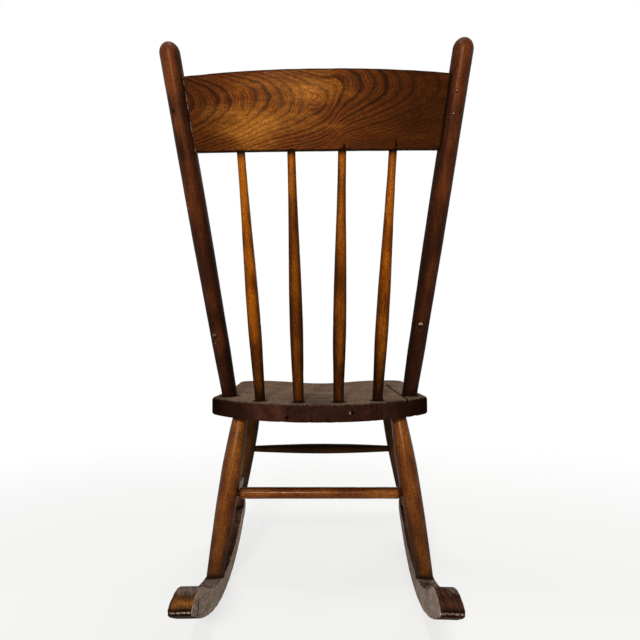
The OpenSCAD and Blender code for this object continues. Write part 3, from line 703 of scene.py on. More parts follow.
# The woods under their old finishes, by the part of the chair that they make. ring, wobble, pore and relief
# are in metres, and old_wood says what each number does.
WOODS = {
    # Maple, turned, stained red-brown and shellacked: long soft streaks and a deep gloss.
    "post": dict(name="maple_red_shellac", ring=0.0034, band=0.3, fine=3, wobble=0.006, contrast=0.8,
                 patchy=0.8, fibre=0.35, fleck=0.25, speck=0.45, pore=0.0014, shine=0.11, gloss=0.22,
                 relief=0.0002),
    # Elm, sawn flat and bent, under golden shellac: bold dark rings in wide arches, with fine lines
    # between them.
    "crest": dict(name="elm_golden_shellac", ring=0.0046, band=0.4, fine=8, wobble=0.0014, contrast=1.0,
                  patchy=0.4, fibre=0.12, fleck=0.45, speck=0.50, pore=0.0012, shine=0.07, gloss=0.30,
                  relief=0.0002),
    # Maple, turned thin, under clear shellac: warm golden brown with fine streaks.
    "spindle": dict(name="maple_golden_shellac", ring=0.0026, band=0.3, fine=2, wobble=0.004, contrast=0.5,
                    patchy=0.6, fibre=0.3, fleck=0.2, speck=0.50, pore=0.0014, shine=0.07, gloss=0.24,
                    relief=0.00016),
    # Birch, turned, under brown shellac: mottled golden brown that breaks up the gloss.
    "leg": dict(name="birch_brown_shellac", ring=0.0032, band=0.3, fine=2, wobble=0.006, contrast=0.5,
                patchy=0.7, fibre=0.2, fleck=0.15, speck=0.60, pore=0.0016, shine=0.19, gloss=0.17,
                relief=0.00010),
    # Poplar, sawn and scooped by hand, its varnish worn off by sitters: dull grey-brown, darker on the end
    # grain of the edges.
    "seat": dict(name="poplar_worn_plank", ring=0.0048, band=0.3, fine=4, wobble=0.004, contrast=0.9,
                 patchy=0.6, fibre=0.3, fleck=0.35, speck=0.14, pore=0.0016, shine=0.0, gloss=0.50,
                 relief=0.0002),
    # Oak, sawn to its curve and scraped by floors: dull grey-brown sides and a brown top.
    "rocker": dict(name="oak_worn_rocker", ring=0.004, band=0.3, fine=3, wobble=0.005, contrast=0.7,
                   patchy=0.7, fibre=0.3, fleck=0.3, speck=0.25, pore=0.0016, shine=0.0, gloss=0.40,
                   relief=0.0003),
}


def wood(part):
    """The wood of one part of the chair, made when its first piece asks for it."""
    return bpy.data.materials.get(WOODS[part]["name"]) or old_wood(part, **WOODS[part])


def old_wood(part, name, ring, band, fine, wobble, contrast, patchy, fibre, fleck, speck, pore, shine, gloss,
             relief):
    """Wood under an old, uneven varnish. The figure field over the ring width counts the growth rings, and
    its fraction runs from pale early wood to dark late wood, which takes the share band of it. fine is how
    many thinner lines each ring holds, and contrast how strongly both show. The rings waver by wobble. Wide
    noise and gilt_and_sheen make golden patches where the varnish is thin, and dark ones where it is thick;
    on turned pieces gilt_and_sheen also carries painted light on their front and rear faces. Noise
    stretched along the grain adds fibres and pores, and noise along the rings adds flecks. worn_and_glint
    shows the bare colour, or the glow where a part has none, for wear and for painted highlights, and
    grime_and_shade darkens corners and carries painted shade. patchy, fibre, fleck and
    speck are how much the patches, the fibres, the flecks and the pores differ in tone, shine is the
    specular level, gloss the least roughness and relief the height of the bumps."""
    finish = chosen("finish")
    glow = (*getattr(finish, f"{part}_glow"), 1)
    light = (*getattr(finish, f"{part}_light"), 1)
    dark = (*getattr(finish, f"{part}_dark"), 1)
    bare = (*getattr(finish, f"{part}_bare", glow[:3]), 1)
    material = bpy.data.materials.new(name)
    tree = new_tree(material)
    place = add(tree, "Attribute", output="Vector", attribute_name="grain")
    figure, grime_and_shade, gilt_and_sheen, worn_and_glint = [add(tree, "Attribute", output="Fac", attribute_name=field)
                                 for field in ("figure", "grime_and_shade", "gilt_and_sheen", "worn_and_glint")]
    # Five noises, as how wide and how long their blots are, their detail and their roughness: the waver of
    # the rings, patches of varnish, specks of it, fibres and pores. Real fibres and pores are finer than
    # these, and would not show from a step away.
    noises = []
    for wide, long, detail, harsh in ((0.015, 0.060, 4.0, 0.5), (0.018, 0.060, 6.0, 0.66),
                                      (0.004, 0.009, 5.0, 0.7), (0.001, 0.040, 3.0, 0.6),
                                      (pore, 2 * pore, 2.0, 0.5)):
        at = add(tree, "Mapping", {"Vector": place, "Scale": (1 / wide, 1 / wide, 1 / long)})
        noises.append(add(tree, "TexNoise", {"Vector": at, "Scale": 1.0, "Detail": detail,
                                             "Roughness": harsh}))
    waver, patches, specks, fibres, pores = noises

    # Growth rings: bold ones that differ from year to year, and fine lines within them. Thick dirty
    # varnish hides them, and so does the painted shade in grime_and_shade.
    wavered = add(tree, "Math", {0: waver, 1: wobble, 2: figure}, operation="MULTIPLY_ADD")
    counted = add(tree, "Math", {0: wavered, 1: ring}, operation="DIVIDE")
    phase = add(tree, "Math", {0: counted}, operation="FRACT")
    year = add(tree, "Math", {0: counted}, operation="FLOOR")
    harvest = add(tree, "TexWhiteNoise", {"W": year}, noise_dimensions="1D")
    late = add(tree, "ValToRGB", {0: phase}, ramp=[
        (0.0, 0.08), (1.0, 0.08), (0.80 - band, 0.12), (0.92 - 0.6 * band, 1.0), (0.92, 0.85)])
    strength = add(tree, "MapRange", {"Value": harvest, "To Min": 0.5 * contrast, "To Max": contrast})
    late_share = add(tree, "Math", {0: late, 1: strength}, operation="MULTIPLY")
    fine_count = add(tree, "Math", {0: counted, 1: fine}, operation="MULTIPLY")
    fine_phase = add(tree, "Math", {0: fine_count, 1: 1.0}, operation="PINGPONG")
    fine_line = add(tree, "MapRange", {"Value": fine_phase, "From Min": 0.45, "From Max": 0.95,
                                       "To Max": 0.75 * contrast})
    bold_line = add(tree, "Math", {0: late_share, 1: fine_line}, operation="MAXIMUM")
    clear = add(tree, "MapRange", {"Value": grime_and_shade, "From Min": 0.4, "From Max": 0.8, "To Min": 1.0,
                                   "To Max": 0.35})
    line_share = add(tree, "Math", {0: bold_line, 1: clear}, operation="MULTIPLY")
    ringed = add(tree, "Mix", {0: line_share, 6: light, 7: dark}, data_type="RGBA")

    # Golden varnish where it is thin, less so on the rings, and dark varnish where it is thick.
    # gilt_and_sheen adds to the thin share, so painted light shows here too.
    thin = add(tree, "Math", {0: patches, 1: gilt_and_sheen}, operation="ADD")
    golden = add(tree, "MapRange", {"Value": thin, "From Min": 0.58, "From Max": 1.0, "To Max": 0.9})
    clouded = add(tree, "MapRange", {"Value": thin, "From Min": 0.36, "From Max": 0.54, "To Min": patchy,
                                     "To Max": 0.0})
    half_line = add(tree, "Math", {0: line_share, 1: -0.6, 2: 1.0}, operation="MULTIPLY_ADD")
    gold = add(tree, "Math", {0: golden, 1: half_line}, operation="MULTIPLY")
    gilded = add(tree, "Mix", {0: gold, 6: ringed, 7: glow}, data_type="RGBA")
    toned = add(tree, "Mix", {0: clouded, 6: gilded, 7: dark}, data_type="RGBA")
    # Wear, and the painted highlights that worn_and_glint also carries, follow its field, broken up by the
    # specks.
    frayed = add(tree, "Math", {0: specks, 1: 0.9, 2: worn_and_glint}, operation="MULTIPLY_ADD")
    bared = add(tree, "MapRange", {"Value": frayed, "From Min": 0.75, "From Max": 1.25, "To Min": 0.0,
                                   "To Max": 0.92})
    worn_off = add(tree, "Mix", {0: bared, 6: toned, 7: bare}, data_type="RGBA")

    # Flecks follow the rings: two to each thin line, 7 mm long along the grain.
    length = add(tree, "SeparateXYZ", {0: place}, output="Z")
    long_at = add(tree, "Math", {0: length, 1: 1 / 0.007}, operation="MULTIPLY")
    across = add(tree, "Math", {0: fine_count, 1: 2.0}, operation="MULTIPLY")
    fleck_at = add(tree, "CombineXYZ", {0: across, 1: long_at})
    flecks = add(tree, "TexNoise", {"Vector": fleck_at, "Scale": 1.0, "Detail": 2.0})
    # Fibres, pores and flecks make the wood paler and darker. On bare wood the rings still show, at six
    # tenths of their strength.
    bare_line = add(tree, "Math", {0: line_share, 1: bared}, operation="MULTIPLY")
    tones = [add(tree, "MapRange", {"Value": noise, "From Min": low, "From Max": high, "To Min": darkest,
                                    "To Max": palest})
             for noise, low, high, darkest, palest in ((fibres, 0.3, 0.7, 1 - fibre, 1 + fibre),
                                                       (pores, 0.34, 0.52, 1 - speck, 1 + 0.3 * speck),
                                                       (flecks, 0.3, 0.7, 1 - fleck, 1 + fleck))]
    tones.append(add(tree, "Math", {0: bare_line, 1: -0.6, 2: 1.0}, operation="MULTIPLY_ADD"))
    tone = tones[0]
    for other in tones[1:]:
        tone = add(tree, "Math", {0: tone, 1: other}, operation="MULTIPLY")
    streaked = add(tree, "VectorMath", {0: worn_off, "Scale": tone}, operation="SCALE")
    # Dirt, thick varnish and painted shade mix the colour towards the grime colour.
    dirt_and_shade_level = add(tree, "Math", {0: specks, 1: 0.5, 2: grime_and_shade}, operation="MULTIPLY_ADD")
    dirt_and_shade = add(tree, "MapRange", {"Value": dirt_and_shade_level, "From Min": 0.30, "From Max": 1.10, "To Min": 0.0,
                                  "To Max": 0.96})
    colour = add(tree, "Mix", {0: dirt_and_shade, 6: streaked, 7: (*finish.grime_and_shade_colour, 1)}, data_type="RGBA")

    # Gloss breaks up with the specks, and is dull where the varnish is gone and where dirt or painted shade
    # lies.
    sheen = add(tree, "MapRange", {"Value": specks, "From Min": 0.3, "From Max": 0.7, "To Min": gloss,
                                   "To Max": gloss + 0.12})
    dulled = add(tree, "Mix", {0: bared, 2: sheen, 3: 0.62}, data_type="FLOAT")
    rough = add(tree, "Mix", {0: dirt_and_shade, 2: dulled, 3: 0.80}, data_type="FLOAT")
    # Relief: raised specks of varnish, and sunken fibres and pores.
    lumps = add(tree, "Math", {0: specks, 1: 0.8, 2: fibres}, operation="MULTIPLY_ADD")
    height = add(tree, "Math", {0: pores, 1: 0.8, 2: lumps}, operation="MULTIPLY_ADD")
    bump = add(tree, "Bump", {"Height": height, "Strength": 0.7, "Distance": relief})
    shader = add(tree, "BsdfPrincipled", {
        "Base Color": colour, "Roughness": rough, "Normal": bump, "IOR": 1.5, "Specular IOR Level": shine,
        "Specular Tint": (1.0, 0.60, 0.36, 1.0)})
    add(tree, "OutputMaterial", {"Surface": shader})
    return material


def old_iron():
    """Wrought iron under old rust and varnish: nearly black-brown with spots of rust 1.5 mm wide, and
    a pale painted highlight where worn_and_glint says so."""
    name = "wrought_iron_rusted"
    if name in bpy.data.materials:
        return bpy.data.materials[name]
    finish = chosen("finish")
    material = bpy.data.materials.new(name)
    tree = new_tree(material)
    place = add(tree, "Attribute", output="Vector", attribute_name="grain")
    spots = add(tree, "TexNoise", {"Vector": place, "Scale": 1 / 0.0015, "Detail": 4.0})
    rust = add(tree, "ValToRGB", {0: spots}, ramp=[(0.4, finish.iron[:]), (0.62, finish.rust[:])])
    worn_and_glint = add(tree, "Attribute", output="Fac", attribute_name="worn_and_glint")
    metal = add(tree, "Mix", {0: worn_and_glint, 6: rust, 7: (*finish.iron_highlight, 1)}, data_type="RGBA")
    rough = add(tree, "MapRange", {"Value": spots, "To Min": 0.25, "To Max": 0.6})
    bump = add(tree, "Bump", {"Height": spots, "Strength": 0.5, "Distance": 0.0002})
    shader = add(tree, "BsdfPrincipled", {
        "Base Color": metal, "Roughness": rough, "IOR": 1.5, "Specular IOR Level": 0.12,
        "Specular Tint": (1.0, 0.70, 0.50, 1.0), "Normal": bump})
    add(tree, "OutputMaterial", {"Surface": shader})
    return material


# Pieces

def add_turned(name, ends, heights, radii, columns, part, node, pith, seed, joints, rubbed_and_lit=(0.38, 0.38),
               shade=(0.42, 0.42), shade_along=(0.0, 0.0)):
    """Adds a turned piece of the part's wood. An uneven hand cut up to 0.3 mm into its surface, and small
    knocks went 0.4 mm deeper. joints are (height, reach) places where grime gathers. Its front and rear are
    painted golden, partly as rubbed varnish and partly as painted light, and its sides are painted darker as
    painted shade. rubbed_and_lit is how golden the piece is, shade how dark its sides are, and shade_along
    how dark the whole of it is, as painted light and shade along it, each at even steps from its first end to
    its last."""
    start, end = ends
    local, turn, out, quads, caps = turned(start, end, heights, radii, columns)
    hollow = handwork(local, depth=0.00012, length=0.05, seed=seed, knocks=14, knock_seed=seed + 7,
                      knock_depth=0.0004, knock_radius=0.003)
    local = local - out * (0.00008 + hollow)[:, None]
    grain = local + np.array([0.31, 0.17, 0.53]) * seed
    grime_and_shade = np.max([falloff(np.abs(local[:, 2] - h), reach) for h, reach in joints], axis=0)
    figure = rings_round(local, pith, 0.006, 0.5, seed)
    faced = np.clip(np.abs((out @ turn)[:, 1]) + 0.15 * ripple(local, 0.05, seed + 5), 0, 1)
    rubbed_and_lit, shade, shade_along = [np.interp(local[:, 2] / heights[-1], np.linspace(0, 1, len(shares)), shares)
                           for shares in (rubbed_and_lit, shade, shade_along)]
    # Painted light and shade: the front and rear faces are lighter and golden, the sides darker, and
    # shade_along darkens the piece along its length.
    gilt_and_sheen = rubbed_and_lit * faced ** 2 * (1 + 0.7 * ripple(local, 0.12, seed + 3))
    grime_and_shade = np.maximum(grime_and_shade, shade * (1 - faced ** 1.5) + shade_along)
    worn_and_glint = 0.1 + 0.5 * falloff(np.abs(local[:, 2] - heights[-1]), 0.004)
    return add_piece(name, start + local @ turn, quads, caps, wood(part), [node], grain,
                     figure, grime_and_shade, gilt_and_sheen, worn_and_glint)


class CHAIR_OT_posts(bpy.types.Operator):
    """Adds the two back posts, turned with a slow swell and a domed end"""
    bl_idname = "chair.add_posts"
    bl_label = "Add Back Posts"

    def execute(self, context):
        b = chosen("back")
        # The foot stands 10 mm deep in the seat, and each mark on a post has close rings of its own.
        foot, shoulder = -0.010, b.post_length - b.dome
        marks = sorted({fixing[2] for fixing in old_fixings()} | {KNOCK[0]})
        at = [(up / cos(b.flare) - foot) / (shoulder - foot) for up in marks]
        shaft = foot + (shoulder - foot) * gathered(230, at, spread=0.007, offsets=np.linspace(-1, 1, 9))
        heights = np.concatenate([shaft, shoulder + b.dome * np.sin(np.linspace(0, pi / 2, 16)[1:-1])])
        tip = b.post_length * cos(b.flare)
        for k, (word, side) in enumerate(SIDES.items()):
            ends = (back_point(side * b.post_x, 0, 0), back_point(side * post_x_at(tip), 0, tip))
            # The posts are painted darker towards the foot, a painted shade, and more golden towards the top,
            # partly rubbed varnish and partly painted light.
            piece = add_turned(f"{word}_back_post", ends, heights, post_radius(heights), 96, "post",
                               f"{word}_post", pith=(0.045, 0.030), seed=11 + k, joints=[(0.0, 0.012)],
                               rubbed_and_lit=(0.10, 0.42), shade=(0.66, 0.56), shade_along=(0.50, 0.0))
            self.soil_and_shade(piece, side)
        return {"FINISHED"}

    def soil_and_shade(self, piece, side):
        """Adds grime and painted shade where the crest board meets the post, by the distance from the board's
        end, seen in the leaning plane of the back: a dark joint with painted shade in it. Hands left the
        domed tip dark, an old knock shows on the left post, and dirt rings each nail and screw."""
        b = chosen("back")
        points = np.empty(len(piece.data.vertices) * 3)
        piece.data.vertices.foreach_get("co", points)
        points = points.reshape(-1, 3)
        away = points - seat_point(0, b.post_y)
        rear = away[:, 1] * cos(b.lean) - away[:, 2] * sin(b.lean)
        up = away[:, 1] * sin(b.lean) + away[:, 2] * cos(b.lean)
        layer = piece.data.attributes["grime_and_shade"].data
        grime_and_shade = np.empty(len(layer))
        layer.foreach_get("value", grime_and_shade)
        middle = b.crest_low + b.crest_height / 2
        above = np.clip(np.abs(up - middle) - b.crest_height / 2, 0, None)
        beside = np.clip(np.abs(rear) - b.crest_thick / 2, 0, None)
        outer = np.clip(side * away[:, 0] - crest_end(up), 0, None)
        knock_up, knock_out = KNOCK
        knock = np.hypot(up - knock_up, away[:, 0] - post_x_at(knock_up) - knock_out)
        darkenings = [grime_and_shade, falloff(np.sqrt(above ** 2 + beside ** 2 + (outer * 0.6) ** 2), 0.005),
                 0.52 * falloff(b.post_length * cos(b.flare) - up, 0.016),
                 1.6 * falloff(knock, 0.0030) * (rear > 0)]
        if side == LEFT:
            # Painted shade: it is darker on its inner side beside the crest board.
            inward = post_x_at(up) - away[:, 0]
            darkenings.append(0.55 * climb(inward, 0, 0.008) * falloff(np.abs(up - middle) - 0.05, 0.02))
        for _, one_side, height, beside_axis, radius, _, _ in old_fixings():
            if one_side == side and radius > 0.0015:
                gap = np.linalg.norm(points - on_post(side, height, beside_axis)[0], axis=1) - radius
                darkenings.append(0.9 * falloff(gap, 0.0014))
        layer.foreach_set("value", np.max(darkenings, axis=0).astype(np.float32))


class CHAIR_OT_spindles(bpy.types.Operator):
    """Adds the four tapered spindles"""
    bl_idname = "chair.add_spindles"
    bl_label = "Add Spindles"

    def execute(self, context):
        b = chosen("back")
        for number in SPINDLES:
            outer = number in (1, 4)
            ends = spindle_ends(number)
            length = np.linalg.norm(ends[1] - ends[0])
            heights = np.linspace(-0.006, length + 0.005, 170)
            radii = eased(heights, [(-0.1, b.spindle_low / 2), (0, b.spindle_low / 2),
                                    (b.spindle_bulge * length, b.spindle_mid / 2),
                                    (length, b.spindle_high / 2), (length + 0.1, b.spindle_high / 2)])
            # The spindles are painted darker towards their feet, a painted shade by the seat, and the outer
            # two lighter above it, a painted light.
            add_turned(f"back_spindle_{number}", ends, heights, radii, 48, "spindle", f"spindle_{number}",
                       pith=(0.035, 0.02 * number - 0.04), seed=20 + number,
                       joints=[(0.0, 0.010), (length, 0.009)], rubbed_and_lit=(0.25 if outer else 0.15, 0.60),
                       shade_along=(0.84, -0.08, -0.10) if outer else (0.64, 0.14))
        return {"FINISHED"}


class CHAIR_OT_legs(bpy.types.Operator):
    """Adds the four swelled legs"""
    bl_idname = "chair.add_legs"
    bl_label = "Add Legs"

    def execute(self, context):
        g = chosen("legs")
        for j, row in enumerate(ROWS):
            for k, (word, side) in enumerate(SIDES.items()):
                ends = leg_ends(side, row)
                length = np.linalg.norm(ends[1] - ends[0])
                heights = np.linspace(-0.005, length + 0.008, 150)
                radii = barrel(heights / length, g.foot, g.mid, g.top, g.bulge) / 2
                # Painted shade: the legs are darker towards their feet, the front ones darker all along in
                # the shadow under the seat and the left rear one darker at its top; the right rear one is
                # lighter at its top, a painted light.
                add_turned(f"{word}_{row}_chair_leg", ends, heights, radii, 64, "leg", f"{word}_{row}_leg",
                           pith=(-0.03, 0.04), seed=31 + 2 * j + k, joints=[(0.0, 0.012), (length, 0.010)],
                           shade_along=(0.56, 0.08, (0.22, -0.14)[k]) if row == "rear" else (0.55, 0.50))
        return {"FINISHED"}


class CHAIR_OT_stretchers(bpy.types.Operator):
    """Adds the front, rear and side stretchers"""
    bl_idname = "chair.add_stretchers"
    bl_label = "Add Stretchers"

    def bar(self, name, node, one, other, middle, end, seed, neck=0.0, shade_along=0.0):
        """A stretcher between two legs, each given as (point on the axis, radius). It swells to the middle
        or, with a neck, is even between two shoulders that are rounded over 4 mm."""
        (a, radius_a), (b, radius_b) = one, other
        gap = np.linalg.norm(b - a)
        first, last = radius_a, gap - radius_b
        if neck:
            heights = np.concatenate([[0.3 * first, first, first + neck],
                                      np.linspace(first + neck, last - neck, 120),
                                      [last - neck, last, last + 0.7 * radius_b]])
            t = climb(np.minimum(heights - first, last - heights), neck, 0.004)
            radii = middle / 2 - 0.0015 * (1 - t) ** 2
            radii[[0, 1, 2, -3, -2, -1]] = end / 2
        else:
            heights = np.linspace(0.4 * first, last + 0.6 * radius_b, 120)
            radii = barrel((heights - first) / (last - first), end, middle, end, 0.5) / 2
        return add_turned(name, (a, b), heights, radii, 48, "leg", node, pith=(0.03, -0.02), seed=seed,
                          joints=[(first, 0.007), (last, 0.007)], shade_along=(shade_along, shade_along))

    def execute(self, context):
        g = chosen("legs")
        # The front stretcher is painted dark: a painted shadow under the seat.
        self.bar("front_bar", "front_stretcher", leg_at(LEFT, "front", g.front_bar_height),
                 leg_at(RIGHT, "front", g.front_bar_height), g.front_bar_mid, g.front_bar_end, 41, shade_along=0.72)
        self.bar("rear_bar", "rear_stretcher", leg_at(LEFT, "rear", g.rear_bar_height),
                 leg_at(RIGHT, "rear", g.rear_bar_height), g.rear_bar_mid, g.rear_bar_end, 42,
                 neck=g.rear_bar_neck)
        for k, (word, side) in enumerate(SIDES.items()):
            self.bar(f"{word}_side_bar", f"{word}_side_stretcher", leg_at(side, "rear", g.side_bar_rear),
                     leg_at(side, "front", g.side_bar_front), g.side_bar_mid, g.side_bar_end, 43 + k)
        return {"FINISHED"}


class CHAIR_OT_seat(bpy.types.Operator):
    """Adds the scooped plank seat, with its round rear corners, its worn edges and its splits"""
    bl_idname = "chair.add_seat"
    bl_label = "Add Plank Seat"

    def outline(self):
        """The four edges of the plank, cut from a chain of arcs that touch: front edge, front corner,
        hollow side, round rear corner and bowed rear edge. The cuts lie half way round the corners."""
        s = chosen("seat")
        rear = np.array([0, s.depth / 2 - s.rear_radius])
        lobe_x = s.width / 2 - s.lobe_radius
        lobe = np.array([lobe_x, rear[1] + sqrt((s.rear_radius - s.lobe_radius) ** 2 - lobe_x ** 2)])
        lobe_end = atan2(lobe[1] - rear[1], lobe[0])
        front = np.array([0, s.front_radius - s.depth / 2])
        corner_x = s.front_width / 2 - s.corner_radius
        to_front = sqrt((s.front_radius - s.corner_radius) ** 2 - corner_x ** 2)
        corner = np.array([corner_x, front[1] - to_front])
        corner_start = atan2(corner[1] - front[1], corner[0])
        span = np.linalg.norm(lobe - corner)
        way = (corner - lobe) / span
        to_lobe, to_corner = s.waist_radius + s.lobe_radius, s.waist_radius + s.corner_radius
        run = (to_lobe ** 2 - to_corner ** 2 + span ** 2) / (2 * span)
        waist = lobe + way * run + np.array([-way[1], way[0]]) * sqrt(to_lobe ** 2 - run ** 2)
        lobe_start = atan2(*(waist - lobe)[::-1])
        corner_end = atan2(*(waist - corner)[::-1])
        lobe_mid, corner_mid = (lobe_start + lobe_end) / 2, (corner_start + corner_end) / 2
        front_half = chain(arc(front, s.front_radius, -pi / 2, corner_start),
                           arc(corner, s.corner_radius, corner_start, corner_mid))
        right = chain(arc(corner, s.corner_radius, corner_mid, corner_end),
                      arc(waist, s.waist_radius, pi + corner_end, pi + lobe_start),
                      arc(lobe, s.lobe_radius, lobe_start, lobe_mid))
        rear_half = chain(arc(rear, s.rear_radius, pi / 2, lobe_end),
                          arc(lobe, s.lobe_radius, lobe_end, lobe_mid))
        mirror = np.array([-1, 1])
        return (chain(front_half[::-1] * mirror, front_half), right,
                chain(rear_half[::-1] * mirror, rear_half), right * mirror)

    def dish(self, x, y):
        """Depth of the scoop: one cosine wave that fades out at the sides and the rear, and runs on over
        the front edge."""
        s = chosen("seat")
        run = np.where(y > -s.dish_middle, s.dish_back + s.dish_middle, s.dish_front)
        reach = np.sqrt((x / (s.dish_width / 2)) ** 2 + ((y + s.dish_middle) / run) ** 2)
        return np.where(reach < 1, s.dish_depth * (1 + np.cos(pi * np.clip(reach, 0, 1))) / 2, 0)

    def split(self, splits, at, u, v, places, level):
        """Depth and dirt of the splits, which start at these shares of the rear edge. Each is a groove that
        follows its own column of the board, ragged by 0.4 mm, and fades out at its front end and where the
        edge stays whole."""
        s = chosen("seat")
        half = s.thickness / 2
        x, y, z = places.T
        behind = rear_edge(np.clip(x, -0.17, 0.17)) - y
        rise = (level + half) / s.thickness
        ragged = 0.0004 * ripple(stack(y, z), 0.012, 17)
        hollow, grime_and_shade = np.zeros(len(x)), np.zeros(len(x))
        for share_at, (_, length, depth, width, edge) in zip(at, splits):
            column = np.abs(u - share_at).argmin()
            path = places[column:len(u) * len(v):len(u)]
            aside = np.abs(x - np.interp(y, path[:, 1], path[:, 0]) + ragged)
            mask = climb(behind, length, -min(length, 0.01)) * (level > 0.001 - half)
            if edge == -1:
                mask = mask * mix(0.35, 1.0, climb(rise, 0.75, 0.2))
            else:
                span = rise - 1 - edge if edge < 0 else 1 - edge - rise
                mask = mask * climb(span, -0.15, 0.15)
            hollow = hollow + depth * (wedge(aside, width) * mask) ** 0.7
            grime_and_shade = np.maximum(grime_and_shade, (0.5 + 1.4 * depth / 0.0045) * wedge(aside, 1.3 * width) * mask)
        return hollow, grime_and_shade

    def execute(self, context):
        s, b = chosen("seat"), chosen("back")
        half = s.thickness / 2
        sides = self.outline()
        # Splits and drying checks as (distance from the middle at the rear edge, length ahead of it, depth,
        # width, share of the edge). A check leaves that share of the edge whole above it or, where the share
        # is negative, runs down that much of it, as the long split runs down all of it.
        long_split = (-s.crack_x, 0.26, 0.0045, s.crack_width, -1.0)
        splits = [long_split, (0.0528, 0.003, 0.0016, 0.0009, 0.2), (0.0119, 0.003, 0.0010, 0.0007, 0.5),
                  (-0.0925, 0.012, 0.0014, 0.0008, -0.6), (-0.101, 0.008, 0.0010, 0.0007, -0.7)]
        # A chip in the rear edge, as its place across and up, and an old nail hole beside it.
        chip_x, chip_z = -0.0528, -0.016
        nail_x = chip_x - 0.0047
        dense = resample(sides[2], np.linspace(0, 1, 2000))
        at = np.interp([*[split[0] for split in splits], chip_x, nail_x], dense[:, 0],
                       np.linspace(0, 1, 2000))
        u = gathered(210, at, spread=0.0022)
        v = gathered(130)
        wobble = outline_waver(u, v, 60, 3.0, 5)
        flat, level, out, near, quads = board(sides, u, v, s.thickness, s.edge_round + 0.0004 * wobble,
                                              s.under_round - 0.0008 * wobble, steps=7, walls=22)
        x, y = flat.T
        scooped = climb(level, s.under_round - half, s.thickness - s.edge_round - s.under_round)
        z = level - half - self.dish(x, y) * scooped
        places = stack(x, y, z)
        # An uneven hand and knocks hollowed the faces, and the lower rim is chipped at the rear.
        hollow = handwork(places, depth=0.00015, length=0.07, seed=3, knocks=26, knock_seed=4,
                          knock_depth=0.0007, knock_radius=0.004)
        rim = falloff(np.abs(level + half - 0.002), 0.003) * (y > 0.1)
        hollow = hollow + 0.0022 * rim * np.clip(ripple(places[:, :1], 0.03, 9) - 0.45, 0, 1)
        grooves, grime_and_shade = self.split(splits, at, u, v, places, level)
        hollow = hollow + grooves
        # A nail hole beside the first check, a screw hole where an arm once stood, and the hole at the chip.
        at_rear, on_top = y > 0.1, level > half - 0.002
        for face, gap, radius, depth in ((at_rear, np.hypot(x - 0.0528, z + 0.024), 0.0022, 0.004),
                                         (on_top, np.hypot(x - 0.176, y + 0.015), 0.0024, 0.004),
                                         (at_rear, np.hypot(x - nail_x, z - chip_z), 0.0024, 0.002)):
            hollow = hollow + depth * np.clip(1.3 - gap / radius, 0, 1) * face
            grime_and_shade = np.maximum(grime_and_shade, 1.5 * np.clip(1.5 - gap / radius, 0, 1) * face)
        places = places - out * hollow[:, None]
        points = seat_point(*places.T)
        top_face = climb(level, half - 0.004, 0.004)
        side_face = top_face < 0.5
        joints = [(back_point(side * b.post_x, 0, 0), back_point(side * post_x_at(0.5), 0, 0.5),
                   b.post_low / 2) for side in SIDES.values()]
        joints += [(*spindle_ends(number), b.spindle_low / 2) for number in SPINDLES]
        grime_and_shade = np.maximum(grime_and_shade, joint_dirt(points, joints, 0.005) * top_face)
        joints = [(*leg_ends(side, row), chosen("legs").top / 2) for side in SIDES.values() for row in ROWS]
        grime_and_shade = np.maximum(grime_and_shade, joint_dirt(points, joints, 0.006) * (level < 0.002 - half))
        # Sitters wore the top, sleeves and floors wore the edges, and the chip is bare wood.
        worn_and_glint = top_face * (0.72 + 0.1 * ripple(places, 0.09, 6)) + 0.18 * near * side_face
        chip = np.clip(1.4 - np.hypot((x - chip_x) / 0.0014, (z - chip_z) / 0.0030), 0, 1) * at_rear
        worn_and_glint = np.maximum(worn_and_glint, 1.3 * chip)
        grime_and_shade = grime_and_shade * (1 - chip)
        # The round rear corners are darker, and the front corners and the sides less so. Under the middle of
        # the back the top is darker: a painted shade of the back.
        darker_corners = climb(np.abs(x), 0.12, 0.07) * mix(0.3, 1.0, climb(y, 0, 0.09))
        grime_and_shade = np.maximum(grime_and_shade, 0.72 * darker_corners * side_face)
        grime_and_shade = np.maximum(grime_and_shade, 0.36 * bell(x, 0, 0.045) * (y > 0.05) * top_face)
        gilt_and_sheen = 0.24 * bell(x, 0.085, 0.035) * side_face * (1 + 0.5 * ripple(places, 0.03, 8))
        grain = places[:, [0, 2, 1]]
        # The pith is nearest to the top 56 mm behind the middle: there the rings close in a long eye.
        along = grain[:, 2] - 0.056
        deep = 0.062 - 0.008 * np.cos(2 * pi * along / 0.40) + 0.05 * np.abs(along)
        figure = np.hypot(grain[:, 0] - 0.005 + 0.05 * along, grain[:, 1] + deep)
        add_piece("plank_seat", points, quads, NO_ENDS, wood("seat"), ["seat"], grain, figure,
                  grime_and_shade, gilt_and_sheen, worn_and_glint)
        return {"FINISHED"}


